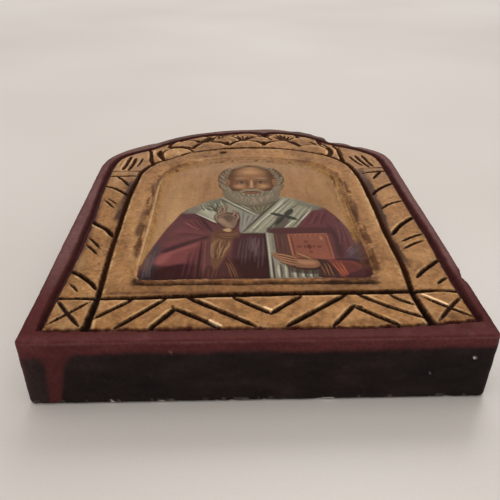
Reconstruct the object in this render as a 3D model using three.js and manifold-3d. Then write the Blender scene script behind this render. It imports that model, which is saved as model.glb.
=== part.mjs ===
// A carved wooden icon: a thick round-headed board, glued up from three staves and stiffened by
// two dovetailed battens, with a gilded and carved border, a painted sheet in a sunk panel and a
// swinging ring hanger set into the back.
// Millimetres. The board lies on its back: +X is right, +Y is the head of the board, and +Z comes
// out of the painted face. The origin is at the middle of the back.
import * as THREE from 'three';
import { mergeVertices } from 'three/addons/utils/BufferGeometryUtils.js';
import Module from 'manifold-3d';

const wasm = await Module();
wasm.setup();

// Board
const board_width = 150;
const board_height = 190;
const board_thickness = 26;
const centre_stave_width = 50;
const arris_radius = 1.4;
const foot_corner_radius = 2.6;
const arch_radius = 72;
const arch_lean = 3;
const neck_inset = 26;
const shoulder_rise = 32;

// Break in the rim beside the right shoulder
const chip_width = 4.6;
const chip_lean = 1.6;
const chip_drop = 15;

// Rim and the gilded field inside it
const rim_width = 6.6;
const rim_groove_half_width = 1.2;
const rim_groove_depth = 2.3;
const field_drop = 0.7;
const field_corner_radius = 1;

// Widths of the carved bands: at the sides, at the foot, and from the frame to the rim's crown
const strip_width = 14.4;
const foot_strip_height = 17.4;
const crown_band = 23.4;

// Carved lines, named by how boldly they are cut
const divider_half_width = 1.15;
const divider_depth = 2.6;
const bold_half_width = 0.95;
const bold_depth = 2;
const fine_half_width = 0.55;
const fine_depth = 1.1;

// Raised frame round the panel: its arch, and how wide it is at the sides, head and foot
const frame_rise = 30;
const frame_corner_radius = 15;
const frame_band = 10.6;
const head_band = 13;
const sill_band = 9.6;

// Sunk panel and the sheet in it
const panel_rise = 29;
const panel_corner_radius = 17;
const panel_foot_radius = 2.5;
const panel_depth = 2.8;
const panel_slope = 1.7;
const sill_groove_drop = 2.9;
const sheet_thickness = 0.5;
const sheet_gap = 0.3;

// Scales carved above the frame
const scale_radius = 9.6;

// Small worn hole in the frame
const pit_radius = 1.1;
const pit_depth = 1.9;

// Battens let into the back
const batten_back_width = 13;
const batten_flare = 2.2;
const batten_depth = 8;
const batten_taper = 3;
const batten_stop = 16;
const batten_gap = 0.15;
const lower_batten_height = 38;
const upper_batten_drop = 52;

// Ring hanger, and the pocket that takes it
const ring_drop = 32.5;
const wire_radius = 0.9;
const ring_width = 12.4;
const ring_length = 12.5;
const ring_corner_radius = 1.5;
const ring_floor_gap = 0.1;
const hinge_gap = 0.2;
const strap_width = 7.6;
const strap_metal = 0.8;
const strap_margin = 0.8;
const screw_pitch = 6.3;
const screw_radius = 1;
const screw_head_radius = 2.1;
const screw_head_height = 1;
const screw_length = 10;
const screw_point_length = 2.5;
const screw_gap = 0.15;
const pocket_depth = 5;
const pocket_side_room = 3.3;
const pocket_foot_room = 2.5;
const pocket_finger_room = 6.1;
const pocket_corner_radius = 4;

// How far a cutting solid runs past what it cuts
const overrun = 2;

// How finely curves are divided
const arc_steps = 7;
const bow_steps = 5;
const edge_steps = 2;
const corner_steps = 3;
const hole_sides = 12;
const bore_sides = 16;
const wire_sides = 8;
const pit_sides = 8;

// Points nearer than this share of the board's width are one point.
const same_point_share = 1e-7;

// How far out a screw's head is at half its height, as a share of its radius
const head_bulge_share = 0.88;

// Shares of the shoulder's width and height at which its curve is pulled
const shoulder_pull_shares = { rise: 0.375, width: 0.615, height: 0.81 };

// Straight cuts in the strip at the foot. Across is a share of the frame's half width, and up is
// a share of the strip's height. Each row is one cut, point by point.
const chevron_shares = [
  [[-0.98, 0.32], [-0.79, 0.9]],
  [[-0.86, 0.02], [-0.57, 0.92]],
  [[-0.64, 0], [-0.51, 0.6], [-0.235, 0.02]],
  [[-0.43, 0.94], [-0.025, 0.02]],
  [[-0.15, 0.92], [0.08, 0.38], [0.27, 0.94]],
  [[0.18, 0.02], [0.56, 0.97]],
  [[0.43, 0], [0.59, 0.61], [0.815, 0.02]],
  [[0.635, 0.96], [1, 0.19]],
  [[0.835, 0.96], [0.96, 0.65]],
];

// Crossed cuts in the two corner squares, as shares of the square from its lower left corner
const cross_shares = {
  left: [[[0.08, 0.96], [0.82, 0.08]], [[0.14, 0.16], [0.86, 0.92]]],
  right: [[[0.1, 0.96], [0.96, 0.18]], [[0.24, 0.06], [0.94, 0.92]]],
};

// Slanting cuts down the side strips. Outer and inner are shares of the way up the strip, at the
// rim and at the frame, and start and end are shares of its width from the rim.
const slash_shares = {
  left: [
    { outer: 0.879, inner: 0.804, start: 0.32, end: 0.74, bold: false },
    { outer: 0.78, inner: 0.707, start: 0.04, end: 0.86, bold: true },
    { outer: 0.671, inner: 0.61, start: 0.22, end: 0.58, bold: false },
    { outer: 0.48, inner: 0.368, start: 0.06, end: 0.88, bold: true },
    { outer: 0.355, inner: 0.274, start: 0.2, end: 0.6, bold: false },
    { outer: 0.315, inner: 0.24, start: 0.2, end: 0.62, bold: false },
    { outer: 0.14, inner: 0.061, start: 0.1, end: 0.88, bold: true },
    { outer: 0.081, inner: 0.02, start: 0.22, end: 0.5, bold: false },
  ],
  right: [
    { outer: 0.905, inner: 0.844, start: 0.24, end: 0.58, bold: false },
    { outer: 0.783, inner: 0.704, start: 0.08, end: 0.82, bold: true },
    { outer: 0.624, inner: 0.583, start: 0.14, end: 0.8, bold: false },
    { outer: 0.48, inner: 0.368, start: 0.02, end: 0.9, bold: true },
    { outer: 0.355, inner: 0.302, start: 0.12, end: 0.74, bold: false },
    { outer: 0.308, inner: 0.261, start: 0.2, end: 0.74, bold: false },
    { outer: 0.188, inner: 0.081, start: 0.02, end: 0.84, bold: true },
    { outer: 0.071, inner: 0.04, start: 0.12, end: 0.42, bold: false },
  ],
};

// The two lines of the band that closes each side strip, as shares of the way up it
const band_shares = { left: [0.939, 0.885], right: [0.953, 0.911] };

// Gouge cuts in the shoulders. Across is a share of the strip's width out from the frame, and up
// a share of the shoulder's rise.
const gouge_shares = {
  left: [
    [[0.514, 0.375], [0.611, -0.169]],
    [[0.312, 0.287], [0.41, -0.169]],
    [[0.076, 0.32], [0.139, -0.025]],
  ],
  right: [
    [[-0.007, 0.278], [0.215, -0.034]],
    [[0.146, 0.41], [0.465, -0.103]],
    [[0.417, 0.41], [0.639, -0.081]],
  ],
};

// Lines between the shoulders and the field of scales, as shares of the same sizes
const neck_line_shares = {
  left: [[-0.156, 0.678], [-0.18, 0.5], [-0.229, 0.334], [-0.34, 0.125]],
  right: [[-0.34, 0.856], [-0.313, 0.62], [-0.326, 0.381], [-0.365, 0.156]],
};

// Scales above the frame. Across is a share of the frame's half width, up a share of the height
// from the frame's top to the rim, and size a share of scale_radius. From and to are degrees.
const scale_shares = [
  { across: -0.676, up: -0.36, size: 0.88, from: 205, to: 35 },
  { across: -0.348, up: -0.08, size: 1, from: 163, to: 38 },
  { across: -0.006, up: 0.01, size: 1.03, from: 157, to: 23 },
  { across: 0.339, up: -0.01, size: 1.01, from: 155, to: 12 },
  { across: 0.644, up: -0.28, size: 0.96, from: 130, to: -33 },
  { across: -0.64, up: 0.2, size: 0.8, from: 212, to: 22 },
  { across: -0.215, up: 0.43, size: 0.82, from: 190, to: -2 },
  { across: 0.194, up: 0.43, size: 0.8, from: 180, to: 0 },
  { across: 0.574, up: 0.33, size: 0.84, from: 182, to: -18 },
];

// Fans of gouge cuts in the points between the upper scales. Foot is where the cuts meet, in the
// same shares, and tips are where they end.
const fan_shares = [
  { foot: [-0.45, 0.32], tips: [[-0.56, 0.6], [-0.47, 0.74], [-0.37, 0.66]] },
  { foot: [-0.015, 0.45], tips: [[-0.12, 0.76], [-0.04, 0.84], [0.04, 0.84], [0.1, 0.74]] },
  { foot: [0.38, 0.45], tips: [[0.29, 0.74], [0.35, 0.84], [0.42, 0.82], [0.49, 0.7]] },
];

// Cuts that close the two ends of the field of scales
const end_cut_shares = [
  [[-0.875, -0.12], [-0.865, -0.45], [-0.815, -0.76]],
  [[-0.775, 0.26], [-0.795, 0.04]],
  [[0.745, 0.3], [0.81, 0.06], [0.835, -0.28], [0.805, -0.52]],
];

// The worn hole, as a share of the frame's half width and of the band at its head
const pit_shares = [-0.247, 0.46];

// Sizes and places worked out from the ones above
const board_half_width = board_width / 2;
const arch_centre_height = board_height - arch_radius;
const neck_half_width = board_half_width - neck_inset;
const neck_reach = neck_half_width + arch_lean;
const neck_height = arch_centre_height + Math.sqrt(arch_radius ** 2 - neck_reach ** 2);
const side_height = neck_height - shoulder_rise;

const field_height = board_thickness - field_drop;
const field_half_width = board_half_width - rim_width;
const field_top = board_height - rim_width;
const strip_foot = rim_width;

const frame_half_width = field_half_width - strip_width;
const frame_foot = strip_foot + foot_strip_height;
const frame_top = field_top - crown_band;
const frame_spring = frame_top - frame_rise;

const panel_half_width = frame_half_width - frame_band;
const panel_foot = frame_foot + sill_band;
const panel_top = frame_top - head_band;
const panel_spring = panel_top - panel_rise;
const panel_floor = field_height - panel_depth;

const upper_batten_height = neck_height - upper_batten_drop;

const strap_thickness = 2 * strap_metal;
const strap_back = pocket_depth - strap_thickness;
const hinge_bore_radius = wire_radius + hinge_gap;
const hinge_outer_radius = hinge_bore_radius + strap_metal;
const hinge_axis_depth = pocket_depth - hinge_outer_radius;
const ring_axis_height = board_height - ring_drop;
const ring_rest_angle = Math.asin((hinge_axis_depth - wire_radius - ring_floor_gap) / ring_length);
const upper_screw_height = ring_axis_height - hinge_outer_radius - strap_margin - screw_head_radius;
const screw_heights = [upper_screw_height - screw_pitch, upper_screw_height];
const strap_foot = screw_heights[0] - screw_head_radius - strap_margin;
const pocket_width = ring_width + 2 * pocket_side_room;
const pocket_foot = strap_foot - pocket_foot_room;
const pocket_head = ring_axis_height + ring_length + wire_radius + pocket_finger_room;

const vector = (x, y) => new THREE.Vector2(x, y);

// A closed mesh as a solid. Its faces are turned to point out.
function solidFrom(geometry) {
  const bare = geometry.clone();
  bare.deleteAttribute('normal');
  bare.deleteAttribute('uv');
  const merged = mergeVertices(bare);
  const vertProperties = new Float32Array(merged.attributes.position.array);
  const triVerts = new Uint32Array(merged.index.array);
  const made = new wasm.Manifold(new wasm.Mesh({ numProp: 3, vertProperties, triVerts }));
  if (made.volume() > 0) return made;
  for (let k = 0; k < triVerts.length; k += 3) {
    [triVerts[k], triVerts[k + 1]] = [triVerts[k + 1], triVerts[k]];
  }
  return new wasm.Manifold(new wasm.Mesh({ numProp: 3, vertProperties, triVerts }));
}

function geometryFrom(solid) {
  const mesh = solid.getMesh();
  const geometry = new THREE.BufferGeometry();
  geometry.setAttribute('position', new THREE.BufferAttribute(mesh.vertProperties, 3));
  geometry.setIndex(new THREE.BufferAttribute(mesh.triVerts, 1));
  return geometry;
}

const joined = (solids) => solids.reduce((whole, piece) => whole.add(piece));

// A solid through a stack of loops with equal numbers of points. Each section is a loop and its
// height; place puts a point of the stack where it belongs.
const upright = (x, y, height) => [x, y, height];
const lengthways = (y, z, along) => [along, y, z];

function loft(sections, place = upright) {
  const count = sections[0].loop.length;
  const last = (sections.length - 1) * count;
  const positions = sections.flatMap(({ loop, at }) => loop.flatMap((p) => place(p.x, p.y, at)));
  const indices = [];
  for (let level = 0; level < sections.length - 1; level += 1) {
    for (let k = 0; k < count; k += 1) {
      const a = level * count + k;
      const b = level * count + ((k + 1) % count);
      indices.push(a, b, b + count, a, b + count, a + count);
    }
  }
  for (const [a, b, c] of THREE.ShapeUtils.triangulateShape(sections[0].loop, [])) {
    indices.push(c, b, a);
  }
  for (const [a, b, c] of THREE.ShapeUtils.triangulateShape(sections.at(-1).loop, [])) {
    indices.push(last + a, last + b, last + c);
  }
  const geometry = new THREE.BufferGeometry();
  geometry.setAttribute('position', new THREE.Float32BufferAttribute(positions, 3));
  geometry.setIndex(indices);
  return solidFrom(geometry);
}

// The points of a path, without any that repeat the one before
const apart = (a, b) => a.distanceTo(b) > board_width * same_point_share;

function pathPoints(path, divisions) {
  const points = path.getPoints(divisions);
  return points.filter((point, k) => k === 0 || apart(point, points[k - 1]));
}

// The points of a closed shape, without the one that repeats the first
function loopOf(shape, divisions) {
  const points = pathPoints(shape, divisions);
  return apart(points[0], points.at(-1)) ? points : points.slice(0, -1);
}

// The board's outline, drawn in by inset
function boardLoop(inset, cornerRadius) {
  const half = board_half_width - inset;
  const neck = vector(neck_half_width, neck_height);
  const pull = vector(
    neck_half_width + shoulder_pull_shares.width * (board_half_width - neck_half_width),
    side_height + shoulder_pull_shares.height * (neck_height - side_height),
  );
  const rise = side_height + shoulder_pull_shares.rise * (neck_height - side_height);
  // The shoulder's far end and its pull move in square to the leg between them.
  const leg = neck.clone().sub(pull).normalize();
  const inward = vector(-leg.y, leg.x).multiplyScalar(inset);
  const corner = vector(-1, -1).normalize().multiplyScalar(inset);
  neck.add(inward);
  pull.add(corner);
  const radius = arch_radius - inset;
  const turn = (x) => Math.acos((x - arch_lean) / radius);
  const shape = new THREE.Shape();
  shape.moveTo(-half + cornerRadius, inset);
  shape.lineTo(half - cornerRadius, inset);
  shape.absarc(half - cornerRadius, inset + cornerRadius, cornerRadius, -Math.PI / 2, 0, false);
  shape.lineTo(half, side_height);
  shape.bezierCurveTo(half, rise, pull.x, pull.y, neck.x, neck.y);
  shape.absarc(arch_lean, arch_centre_height, radius, turn(neck.x), Math.PI / 2, false);
  shape.absarc(arch_lean, arch_centre_height, radius, Math.PI / 2, turn(-neck.x), false);
  shape.bezierCurveTo(-pull.x, pull.y, -half, rise, -half, side_height);
  shape.lineTo(-half, inset + cornerRadius);
  shape.absarc(-half + cornerRadius, inset + cornerRadius, cornerRadius, Math.PI, 1.5 * Math.PI, false);
  return loopOf(shape, arc_steps);
}

// A straight-sided outline with a three-centred arch, drawn in by inset. The crown's arc and the
// corner arcs share a tangent where they meet.
function archCurve({ half, spring, top, corner }, inset, shape) {
  const across = half - corner;
  const rise = top - corner - spring;
  const drop = (across ** 2 - rise ** 2) / (2 * rise);
  const tilt = Math.atan2(across, drop);
  const radius = corner - inset;
  shape.absarc(across, spring, radius, 0, Math.PI / 2 - tilt, false);
  const crown = top - spring + drop - inset;
  shape.absarc(0, spring - drop, crown, Math.PI / 2 - tilt, Math.PI / 2 + tilt, false);
  shape.absarc(-across, spring, radius, Math.PI / 2 + tilt, Math.PI, false);
}

const frame = {
  half: frame_half_width,
  spring: frame_spring,
  top: frame_top,
  corner: frame_corner_radius,
};
const panel = {
  half: panel_half_width,
  spring: panel_spring,
  top: panel_top,
  corner: panel_corner_radius,
};

function panelLoop(inset) {
  const half = panel_half_width - inset;
  const foot = panel_foot + inset;
  const radius = panel_foot_radius;
  const shape = new THREE.Shape();
  shape.moveTo(-half + radius, foot);
  shape.lineTo(half - radius, foot);
  shape.absarc(half - radius, foot + radius, radius, -Math.PI / 2, 0, false);
  archCurve(panel, inset, shape);
  shape.absarc(-half + radius, foot + radius, radius, Math.PI, 1.5 * Math.PI, false);
  return loopOf(shape, arc_steps);
}

// A V cut along a path, measured from the surface that it is cut in. Size is a share of the full
// cut at each point, which tapers a cut to nothing at its ends.
function vCut(path, halfWidth, depth, sizes, surface = field_height) {
  const positions = [];
  const indices = [];
  path.forEach((point, k) => {
    const before = path[Math.max(k - 1, 0)];
    const after = path[Math.min(k + 1, path.length - 1)];
    const arriving = (k === 0 ? after.clone().sub(point) : point.clone().sub(before)).normalize();
    const leaving = (k === path.length - 1 ? arriving.clone() : after.clone().sub(point)).normalize();
    const along = arriving.clone().add(leaving).normalize();
    const mitre = 1 / along.dot(arriving);
    const deep = depth * sizes[k];
    const wide = halfWidth * sizes[k] * ((deep + overrun) / deep) * mitre;
    positions.push(point.x - along.y * wide, point.y + along.x * wide, surface + overrun);
    positions.push(point.x + along.y * wide, point.y - along.x * wide, surface + overrun);
    positions.push(point.x, point.y, surface - deep);
  });
  for (let k = 0; k < path.length - 1; k += 1) {
    for (let side = 0; side < 3; side += 1) {
      const a = 3 * k + side;
      const b = 3 * k + ((side + 1) % 3);
      indices.push(a, b, b + 3, a, b + 3, a + 3);
    }
  }
  const end = 3 * (path.length - 1);
  indices.push(0, 2, 1, end, end + 1, end + 2);
  const geometry = new THREE.BufferGeometry();
  geometry.setAttribute('position', new THREE.Float32BufferAttribute(positions, 3));
  geometry.setIndex(indices);
  return solidFrom(geometry);
}

const full_cut = (path) => path.map(() => 1);

// A cut with straight legs that starts and ends thin, as a knife enters and leaves the wood
const point_share = 0.3;
const taper_share = 0.22;

function knifeCut(path, halfWidth, depth) {
  const first = path[0].clone().lerp(path[1], taper_share);
  const last = path.at(-1).clone().lerp(path.at(-2), taper_share);
  const stations = [path[0], first, ...path.slice(1, -1), last, path.at(-1)];
  const sizes = stations.map((_, k) => (k === 0 || k === stations.length - 1 ? point_share : 1));
  return vCut(stations, halfWidth, depth, sizes);
}

const boldCut = (path) => knifeCut(path, bold_half_width, bold_depth);
const fineCut = (path) => knifeCut(path, fine_half_width, fine_depth);

// The V round the gilded field, between the rim and the carving
function rimGroove() {
  const outer = boardLoop(rim_width - rim_groove_half_width, field_corner_radius);
  const middle = boardLoop(rim_width, field_corner_radius);
  const inner = boardLoop(rim_width + rim_groove_half_width, field_corner_radius);
  const bottom = field_height - rim_groove_depth;
  const cut = loft([{ loop: middle, at: bottom }, { loop: outer, at: board_thickness + arris_radius }]);
  const core = loft([{ loop: middle, at: bottom }, { loop: inner, at: board_thickness + arris_radius }]);
  const field = loft([
    { loop: middle, at: field_height },
    { loop: middle, at: board_thickness + arris_radius },
  ]);
  return cut.subtract(core).add(field);
}

function frameLines() {
  const path = new THREE.Path();
  path.moveTo(frame_half_width, strip_foot);
  path.lineTo(frame_half_width, frame_spring);
  archCurve(frame, 0, path);
  path.lineTo(-frame_half_width, strip_foot);
  const round = pathPoints(path, arc_steps);
  const across = [vector(-field_half_width, frame_foot), vector(field_half_width, frame_foot)];
  return joined([
    vCut(round, divider_half_width, divider_depth, full_cut(round)),
    vCut(across, divider_half_width, divider_depth, full_cut(across)),
  ]);
}

function footStrip() {
  const place = ([across, up]) => vector(
    across * frame_half_width,
    strip_foot + up * foot_strip_height,
  );
  return joined(chevron_shares.map((points) => boldCut(points.map(place))));
}

function cornerCrosses() {
  const cuts = Object.entries(cross_shares).flatMap(([side, lines]) => {
    const left = side === 'left' ? -field_half_width : frame_half_width;
    const place = ([across, up]) => vector(
      left + across * strip_width,
      strip_foot + up * foot_strip_height,
    );
    return lines.map((points) => fineCut(points.map(place)));
  });
  return joined(cuts);
}

function sideStrips() {
  const height = (share) => frame_foot + share * (side_height - frame_foot);
  const cuts = Object.entries(slash_shares).flatMap(([side, slashes]) => {
    const sign = side === 'left' ? -1 : 1;
    const x = (share) => sign * (field_half_width - share * strip_width);
    return slashes.map(({ outer, inner, start, end, bold }) => {
      const path = [vector(x(start), height(outer)), vector(x(end), height(inner))];
      return bold ? boldCut(path) : fineCut(path);
    });
  });
  const bands = Object.entries(band_shares).flatMap(([side, heights]) => {
    const sign = side === 'left' ? -1 : 1;
    return heights.map((share) => {
      const y = height(share);
      return fineCut([vector(sign * field_half_width, y), vector(sign * frame_half_width, y)]);
    });
  });
  return joined([...cuts, ...bands]);
}

function shoulders() {
  const placing = (side) => ([across, up]) => vector(
    (side === 'left' ? -1 : 1) * (frame_half_width + across * strip_width),
    side_height + up * shoulder_rise,
  );
  const gouges = Object.entries(gouge_shares).flatMap(([side, cuts]) => (
    cuts.map((points) => boldCut(points.map(placing(side))))
  ));
  const lines = Object.entries(neck_line_shares).map(([side, points]) => {
    const path = points.map(placing(side));
    return vCut(path, bold_half_width, bold_depth, full_cut(path));
  });
  return joined([...gouges, ...lines]);
}

function scaleField() {
  const place = ([across, up]) => vector(across * frame_half_width, frame_top + up * crown_band);
  const scales = scale_shares.map(({ across, up, size, from, to }) => {
    const centre = place([across, up]);
    const start = THREE.MathUtils.degToRad(from);
    const end = THREE.MathUtils.degToRad(to);
    const arc = new THREE.ArcCurve(centre.x, centre.y, size * scale_radius, start, end, true);
    return knifeCut(arc.getPoints(arc_steps), bold_half_width, bold_depth);
  });
  const fans = fan_shares.flatMap(({ foot, tips }) => (
    tips.map((tip) => fineCut([place(foot), place(tip)]))
  ));
  const ends = end_cut_shares.map((points) => boldCut(points.map(place)));
  return joined([...scales, ...fans, ...ends]);
}

// The sunk panel with its sloping walls, and the line under its sill
function panelCut() {
  const well = loft([
    { loop: panelLoop(panel_slope), at: panel_floor },
    { loop: panelLoop(0), at: field_height },
    { loop: panelLoop(0), at: board_thickness + overrun },
  ]);
  const y = panel_foot - sill_groove_drop;
  const sill = fineCut([vector(-panel_half_width, y), vector(panel_half_width - panel_foot_radius, y)]);
  return well.add(sill);
}

function pitCut() {
  const cone = new THREE.ConeGeometry(pit_radius, pit_depth, pit_sides);
  cone.rotateX(-Math.PI / 2);
  cone.translate(
    pit_shares[0] * frame_half_width,
    panel_top + pit_shares[1] * head_band,
    field_height - pit_depth / 2,
  );
  return solidFrom(cone);
}

// The break, a wedge that starts inside the right neck and leans back towards the crown
function chipCut() {
  const left = neck_half_width - chip_width;
  const high = board_height;
  const right = board_half_width;
  const wedge = (lean) => [
    vector(left + chip_lean + lean, neck_height),
    vector(right, neck_height),
    vector(right, high),
    vector(left - chip_lean + lean, high),
  ];
  return loft([
    { loop: wedge(chip_lean), at: board_thickness - chip_drop },
    { loop: wedge(0), at: board_thickness + overrun },
  ]);
}

// The whole board before it is cut, with rounded front and back arrises
function boardBlank() {
  const sections = [];
  const addEdge = (height, direction) => {
    for (let k = 0; k <= edge_steps; k += 1) {
      const turn = (k / edge_steps) * (Math.PI / 2);
      const step = direction > 0 ? turn : Math.PI / 2 - turn;
      const inset = arris_radius * (1 - Math.sin(step));
      const at = height + direction * arris_radius * (1 - Math.cos(step));
      sections.push({ loop: boardLoop(inset, foot_corner_radius - inset), at });
    }
  };
  addEdge(0, 1);
  addEdge(board_thickness, -1);
  return loft(sections);
}

// A dovetailed batten that goes in from one edge and narrows towards its far end. Grow widens it
// on both flanks and lengthens it, for the groove that it slides in.
function battenShape(height, entry, grow) {
  const near = entry * board_half_width;
  const far = -entry * (board_half_width - batten_stop + grow);
  const section = (narrowing) => {
    const back = batten_back_width / 2 - narrowing + grow;
    const deep = back + batten_flare;
    return [
      vector(height - back, 0),
      vector(height + back, 0),
      vector(height + deep, batten_depth),
      vector(height - deep, batten_depth),
    ];
  };
  return loft([
    { loop: section(0), at: near },
    { loop: section(batten_taper / 2), at: far },
  ], lengthways);
}

// The same shape carried past the board's back, so that the cut opens there. The flanks run on
// at their own slope.
function battenGroove(height, entry) {
  const body = battenShape(height, entry, batten_gap);
  const mouth = body.translate([0, 0, -batten_depth / 2]);
  const slot = new THREE.BoxGeometry(board_width, batten_back_width, batten_depth);
  slot.translate(entry * batten_stop, height, 0);
  return body.add(mouth.intersect(solidFrom(slot)));
}

function pocketCut() {
  const half = pocket_width / 2;
  const shape = new THREE.Shape();
  const r = pocket_corner_radius;
  shape.absarc(half - r, pocket_foot + r, r, -Math.PI / 2, 0, false);
  shape.absarc(half - r, pocket_head - r, r, 0, Math.PI / 2, false);
  shape.absarc(-half + r, pocket_head - r, r, Math.PI / 2, Math.PI, false);
  shape.absarc(-half + r, pocket_foot + r, r, Math.PI, 1.5 * Math.PI, false);
  const loop = loopOf(shape, corner_steps);
  return loft([{ loop, at: -overrun }, { loop, at: pocket_depth }]);
}

// A round-headed wood screw, point up, seated on the strap
function screwGeometry(height) {
  const shoulder = strap_back;
  const tip = shoulder + screw_length;
  const profile = [
    vector(0, shoulder - screw_head_height),
    vector(screw_head_radius / 2, shoulder - screw_head_height),
    vector(screw_head_radius * head_bulge_share, shoulder - screw_head_height / 2),
    vector(screw_head_radius, shoulder),
    vector(screw_radius, shoulder),
    vector(screw_radius, tip - screw_point_length),
    vector(0, tip),
  ];
  const geometry = new THREE.LatheGeometry(profile, hole_sides);
  geometry.rotateX(Math.PI / 2);
  geometry.translate(0, height, 0);
  return geometry;
}

function screwHole(height, radius, bottom, top) {
  const hole = new THREE.CylinderGeometry(radius, radius, top - bottom, hole_sides);
  hole.rotateX(Math.PI / 2);
  hole.translate(0, height, (top + bottom) / 2);
  return solidFrom(hole);
}

// The strap: a flat tongue under its screws, folded round the ring's straight bar
function strapSolid() {
  const outer = new THREE.Shape();
  outer.moveTo(strap_foot, strap_back);
  outer.lineTo(ring_axis_height, strap_back);
  outer.lineTo(ring_axis_height, pocket_depth);
  outer.lineTo(strap_foot, pocket_depth);
  const tongue = new THREE.ExtrudeGeometry(outer, { depth: strap_width, bevelEnabled: false });
  const eye = new THREE.Shape();
  eye.absarc(ring_axis_height, hinge_axis_depth, hinge_outer_radius, 0, 2 * Math.PI, false);
  const fold = new THREE.ExtrudeGeometry(eye, {
    depth: strap_width,
    bevelEnabled: false,
    curveSegments: bore_sides / 2,
  });
  const bar = new THREE.CylinderGeometry(
    hinge_bore_radius,
    hinge_bore_radius,
    board_width,
    bore_sides,
  );
  bar.rotateZ(Math.PI / 2);
  bar.translate(0, ring_axis_height, hinge_axis_depth);
  const turned = new THREE.Matrix4().set(
    0, 0, 1, -strap_width / 2,
    1, 0, 0, 0,
    0, 1, 0, 0,
    0, 0, 0, 1,
  );
  const body = [tongue, fold].map((geometry) => solidFrom(geometry.applyMatrix4(turned)));
  const reach = pocket_depth + overrun;
  const holes = screw_heights.map((y) => screwHole(y, screw_radius + screw_gap, 0, reach));
  return joined(body).subtract(joined([solidFrom(bar), ...holes]));
}

// The D-shaped ring, drawn about its straight bar and pointing to the board's head
function ringGeometry() {
  const half = ring_width / 2 - wire_radius;
  const r = ring_corner_radius;
  const bow = ring_length - half;
  const outline = new THREE.Path();
  outline.moveTo(0, 0);
  outline.lineTo(half - r, 0);
  outline.absarc(half - r, r, r, -Math.PI / 2, 0, false);
  outline.lineTo(half, bow);
  outline.absarc(0, bow, half, 0, Math.PI, false);
  outline.lineTo(-half, r);
  outline.absarc(-half + r, r, r, Math.PI, 1.5 * Math.PI, false);
  outline.lineTo(0, 0);
  const points = loopOf(outline, bow_steps);
  const positions = [];
  const indices = [];
  points.forEach((point, k) => {
    const before = points[(k + points.length - 1) % points.length];
    const after = points[(k + 1) % points.length];
    const along = after.clone().sub(before).normalize();
    for (let side = 0; side < wire_sides; side += 1) {
      const turn = (side / wire_sides) * 2 * Math.PI;
      const out = wire_radius * Math.cos(turn);
      positions.push(point.x + along.y * out, point.y - along.x * out, wire_radius * Math.sin(turn));
      const next = (side + 1) % wire_sides;
      const ahead = (k + 1) % points.length;
      const [a, b] = [k * wire_sides + side, k * wire_sides + next];
      const [c, d] = [ahead * wire_sides + next, ahead * wire_sides + side];
      indices.push(a, b, c, a, c, d);
    }
  });
  const geometry = new THREE.BufferGeometry();
  geometry.setAttribute('position', new THREE.Float32BufferAttribute(positions, 3));
  geometry.setIndex(indices);
  return geometryFrom(solidFrom(geometry));
}

const materials = {
  board: new THREE.MeshStandardMaterial({ color: 0x8d6a3c, roughness: 0.6, metalness: 0 }),
  batten: new THREE.MeshStandardMaterial({ color: 0xa98658, roughness: 0.8, metalness: 0 }),
  sheet: new THREE.MeshStandardMaterial({ color: 0xa07a5c, roughness: 0.7, metalness: 0 }),
  brass: new THREE.MeshStandardMaterial({ color: 0xa88a4a, roughness: 0.4, metalness: 1 }),
};

// The board stands in the group with its foot at the group's zero.
const icon = new THREE.Group();
icon.position.y = -board_height / 2;

function addPiece(name, geometry, material, parent = icon) {
  const mesh = new THREE.Mesh(geometry, material);
  mesh.name = name;
  parent.add(mesh);
}

const blank = boardBlank();
const carving = joined([
  rimGroove(),
  frameLines(),
  footStrip(),
  cornerCrosses(),
  sideStrips(),
  shoulders(),
  scaleField(),
  panelCut(),
  pitCut(),
  chipCut(),
]);
const battens = [
  { name: 'batten_lower', height: lower_batten_height, entry: -1 },
  { name: 'batten_upper', height: upper_batten_height, entry: 1 },
];
const pilots = screw_heights.map((y) => (
  screwHole(y, screw_radius + screw_gap, 0, strap_back + screw_length + screw_gap)
));
const joinery = joined([
  ...battens.map(({ height, entry }) => battenGroove(height, entry)),
  pocketCut(),
  ...pilots,
]);
const board = blank.subtract(carving).subtract(joinery);

const stave_edges = [
  { name: 'stave_left', from: -board_width, to: -centre_stave_width / 2 },
  { name: 'stave_centre', from: -centre_stave_width / 2, to: centre_stave_width / 2 },
  { name: 'stave_right', from: centre_stave_width / 2, to: board_width },
];
for (const { name, from, to } of stave_edges) {
  const slab = new THREE.BoxGeometry(to - from, 2 * board_height, 2 * board_height);
  slab.translate((from + to) / 2, board_height, 0);
  addPiece(name, geometryFrom(board.intersect(solidFrom(slab))), materials.board);
}

for (const { name, height, entry } of battens) {
  const batten = battenShape(height, entry, 0).intersect(blank);
  addPiece(name, geometryFrom(batten), materials.batten);
}

const sheet_loop = panelLoop(panel_slope + sheet_gap);
const sheet = loft([
  { loop: sheet_loop, at: panel_floor },
  { loop: sheet_loop, at: panel_floor + sheet_thickness },
]);
addPiece('picture_sheet', geometryFrom(sheet), materials.sheet);

addPiece('hanger_strap', geometryFrom(strapSolid()), materials.brass);
addPiece('screw_lower', screwGeometry(screw_heights[0]), materials.brass);
addPiece('screw_upper', screwGeometry(screw_heights[1]), materials.brass);

// The ring turns about its bar. At rest its bow drops to the surface under the board.
const ring_seat = new THREE.Group();
ring_seat.position.set(0, ring_axis_height, hinge_axis_depth);
ring_seat.rotation.x = -ring_rest_angle;
icon.add(ring_seat);
addPiece('hanger_ring', ringGeometry(), materials.brass, ring_seat);

const root = new THREE.Group();
root.add(icon);

export default root;
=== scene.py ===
import math

import bpy
import numpy as np
from mathutils import Matrix, Vector
from mathutils.geometry import delaunay_2d_cdt


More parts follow.
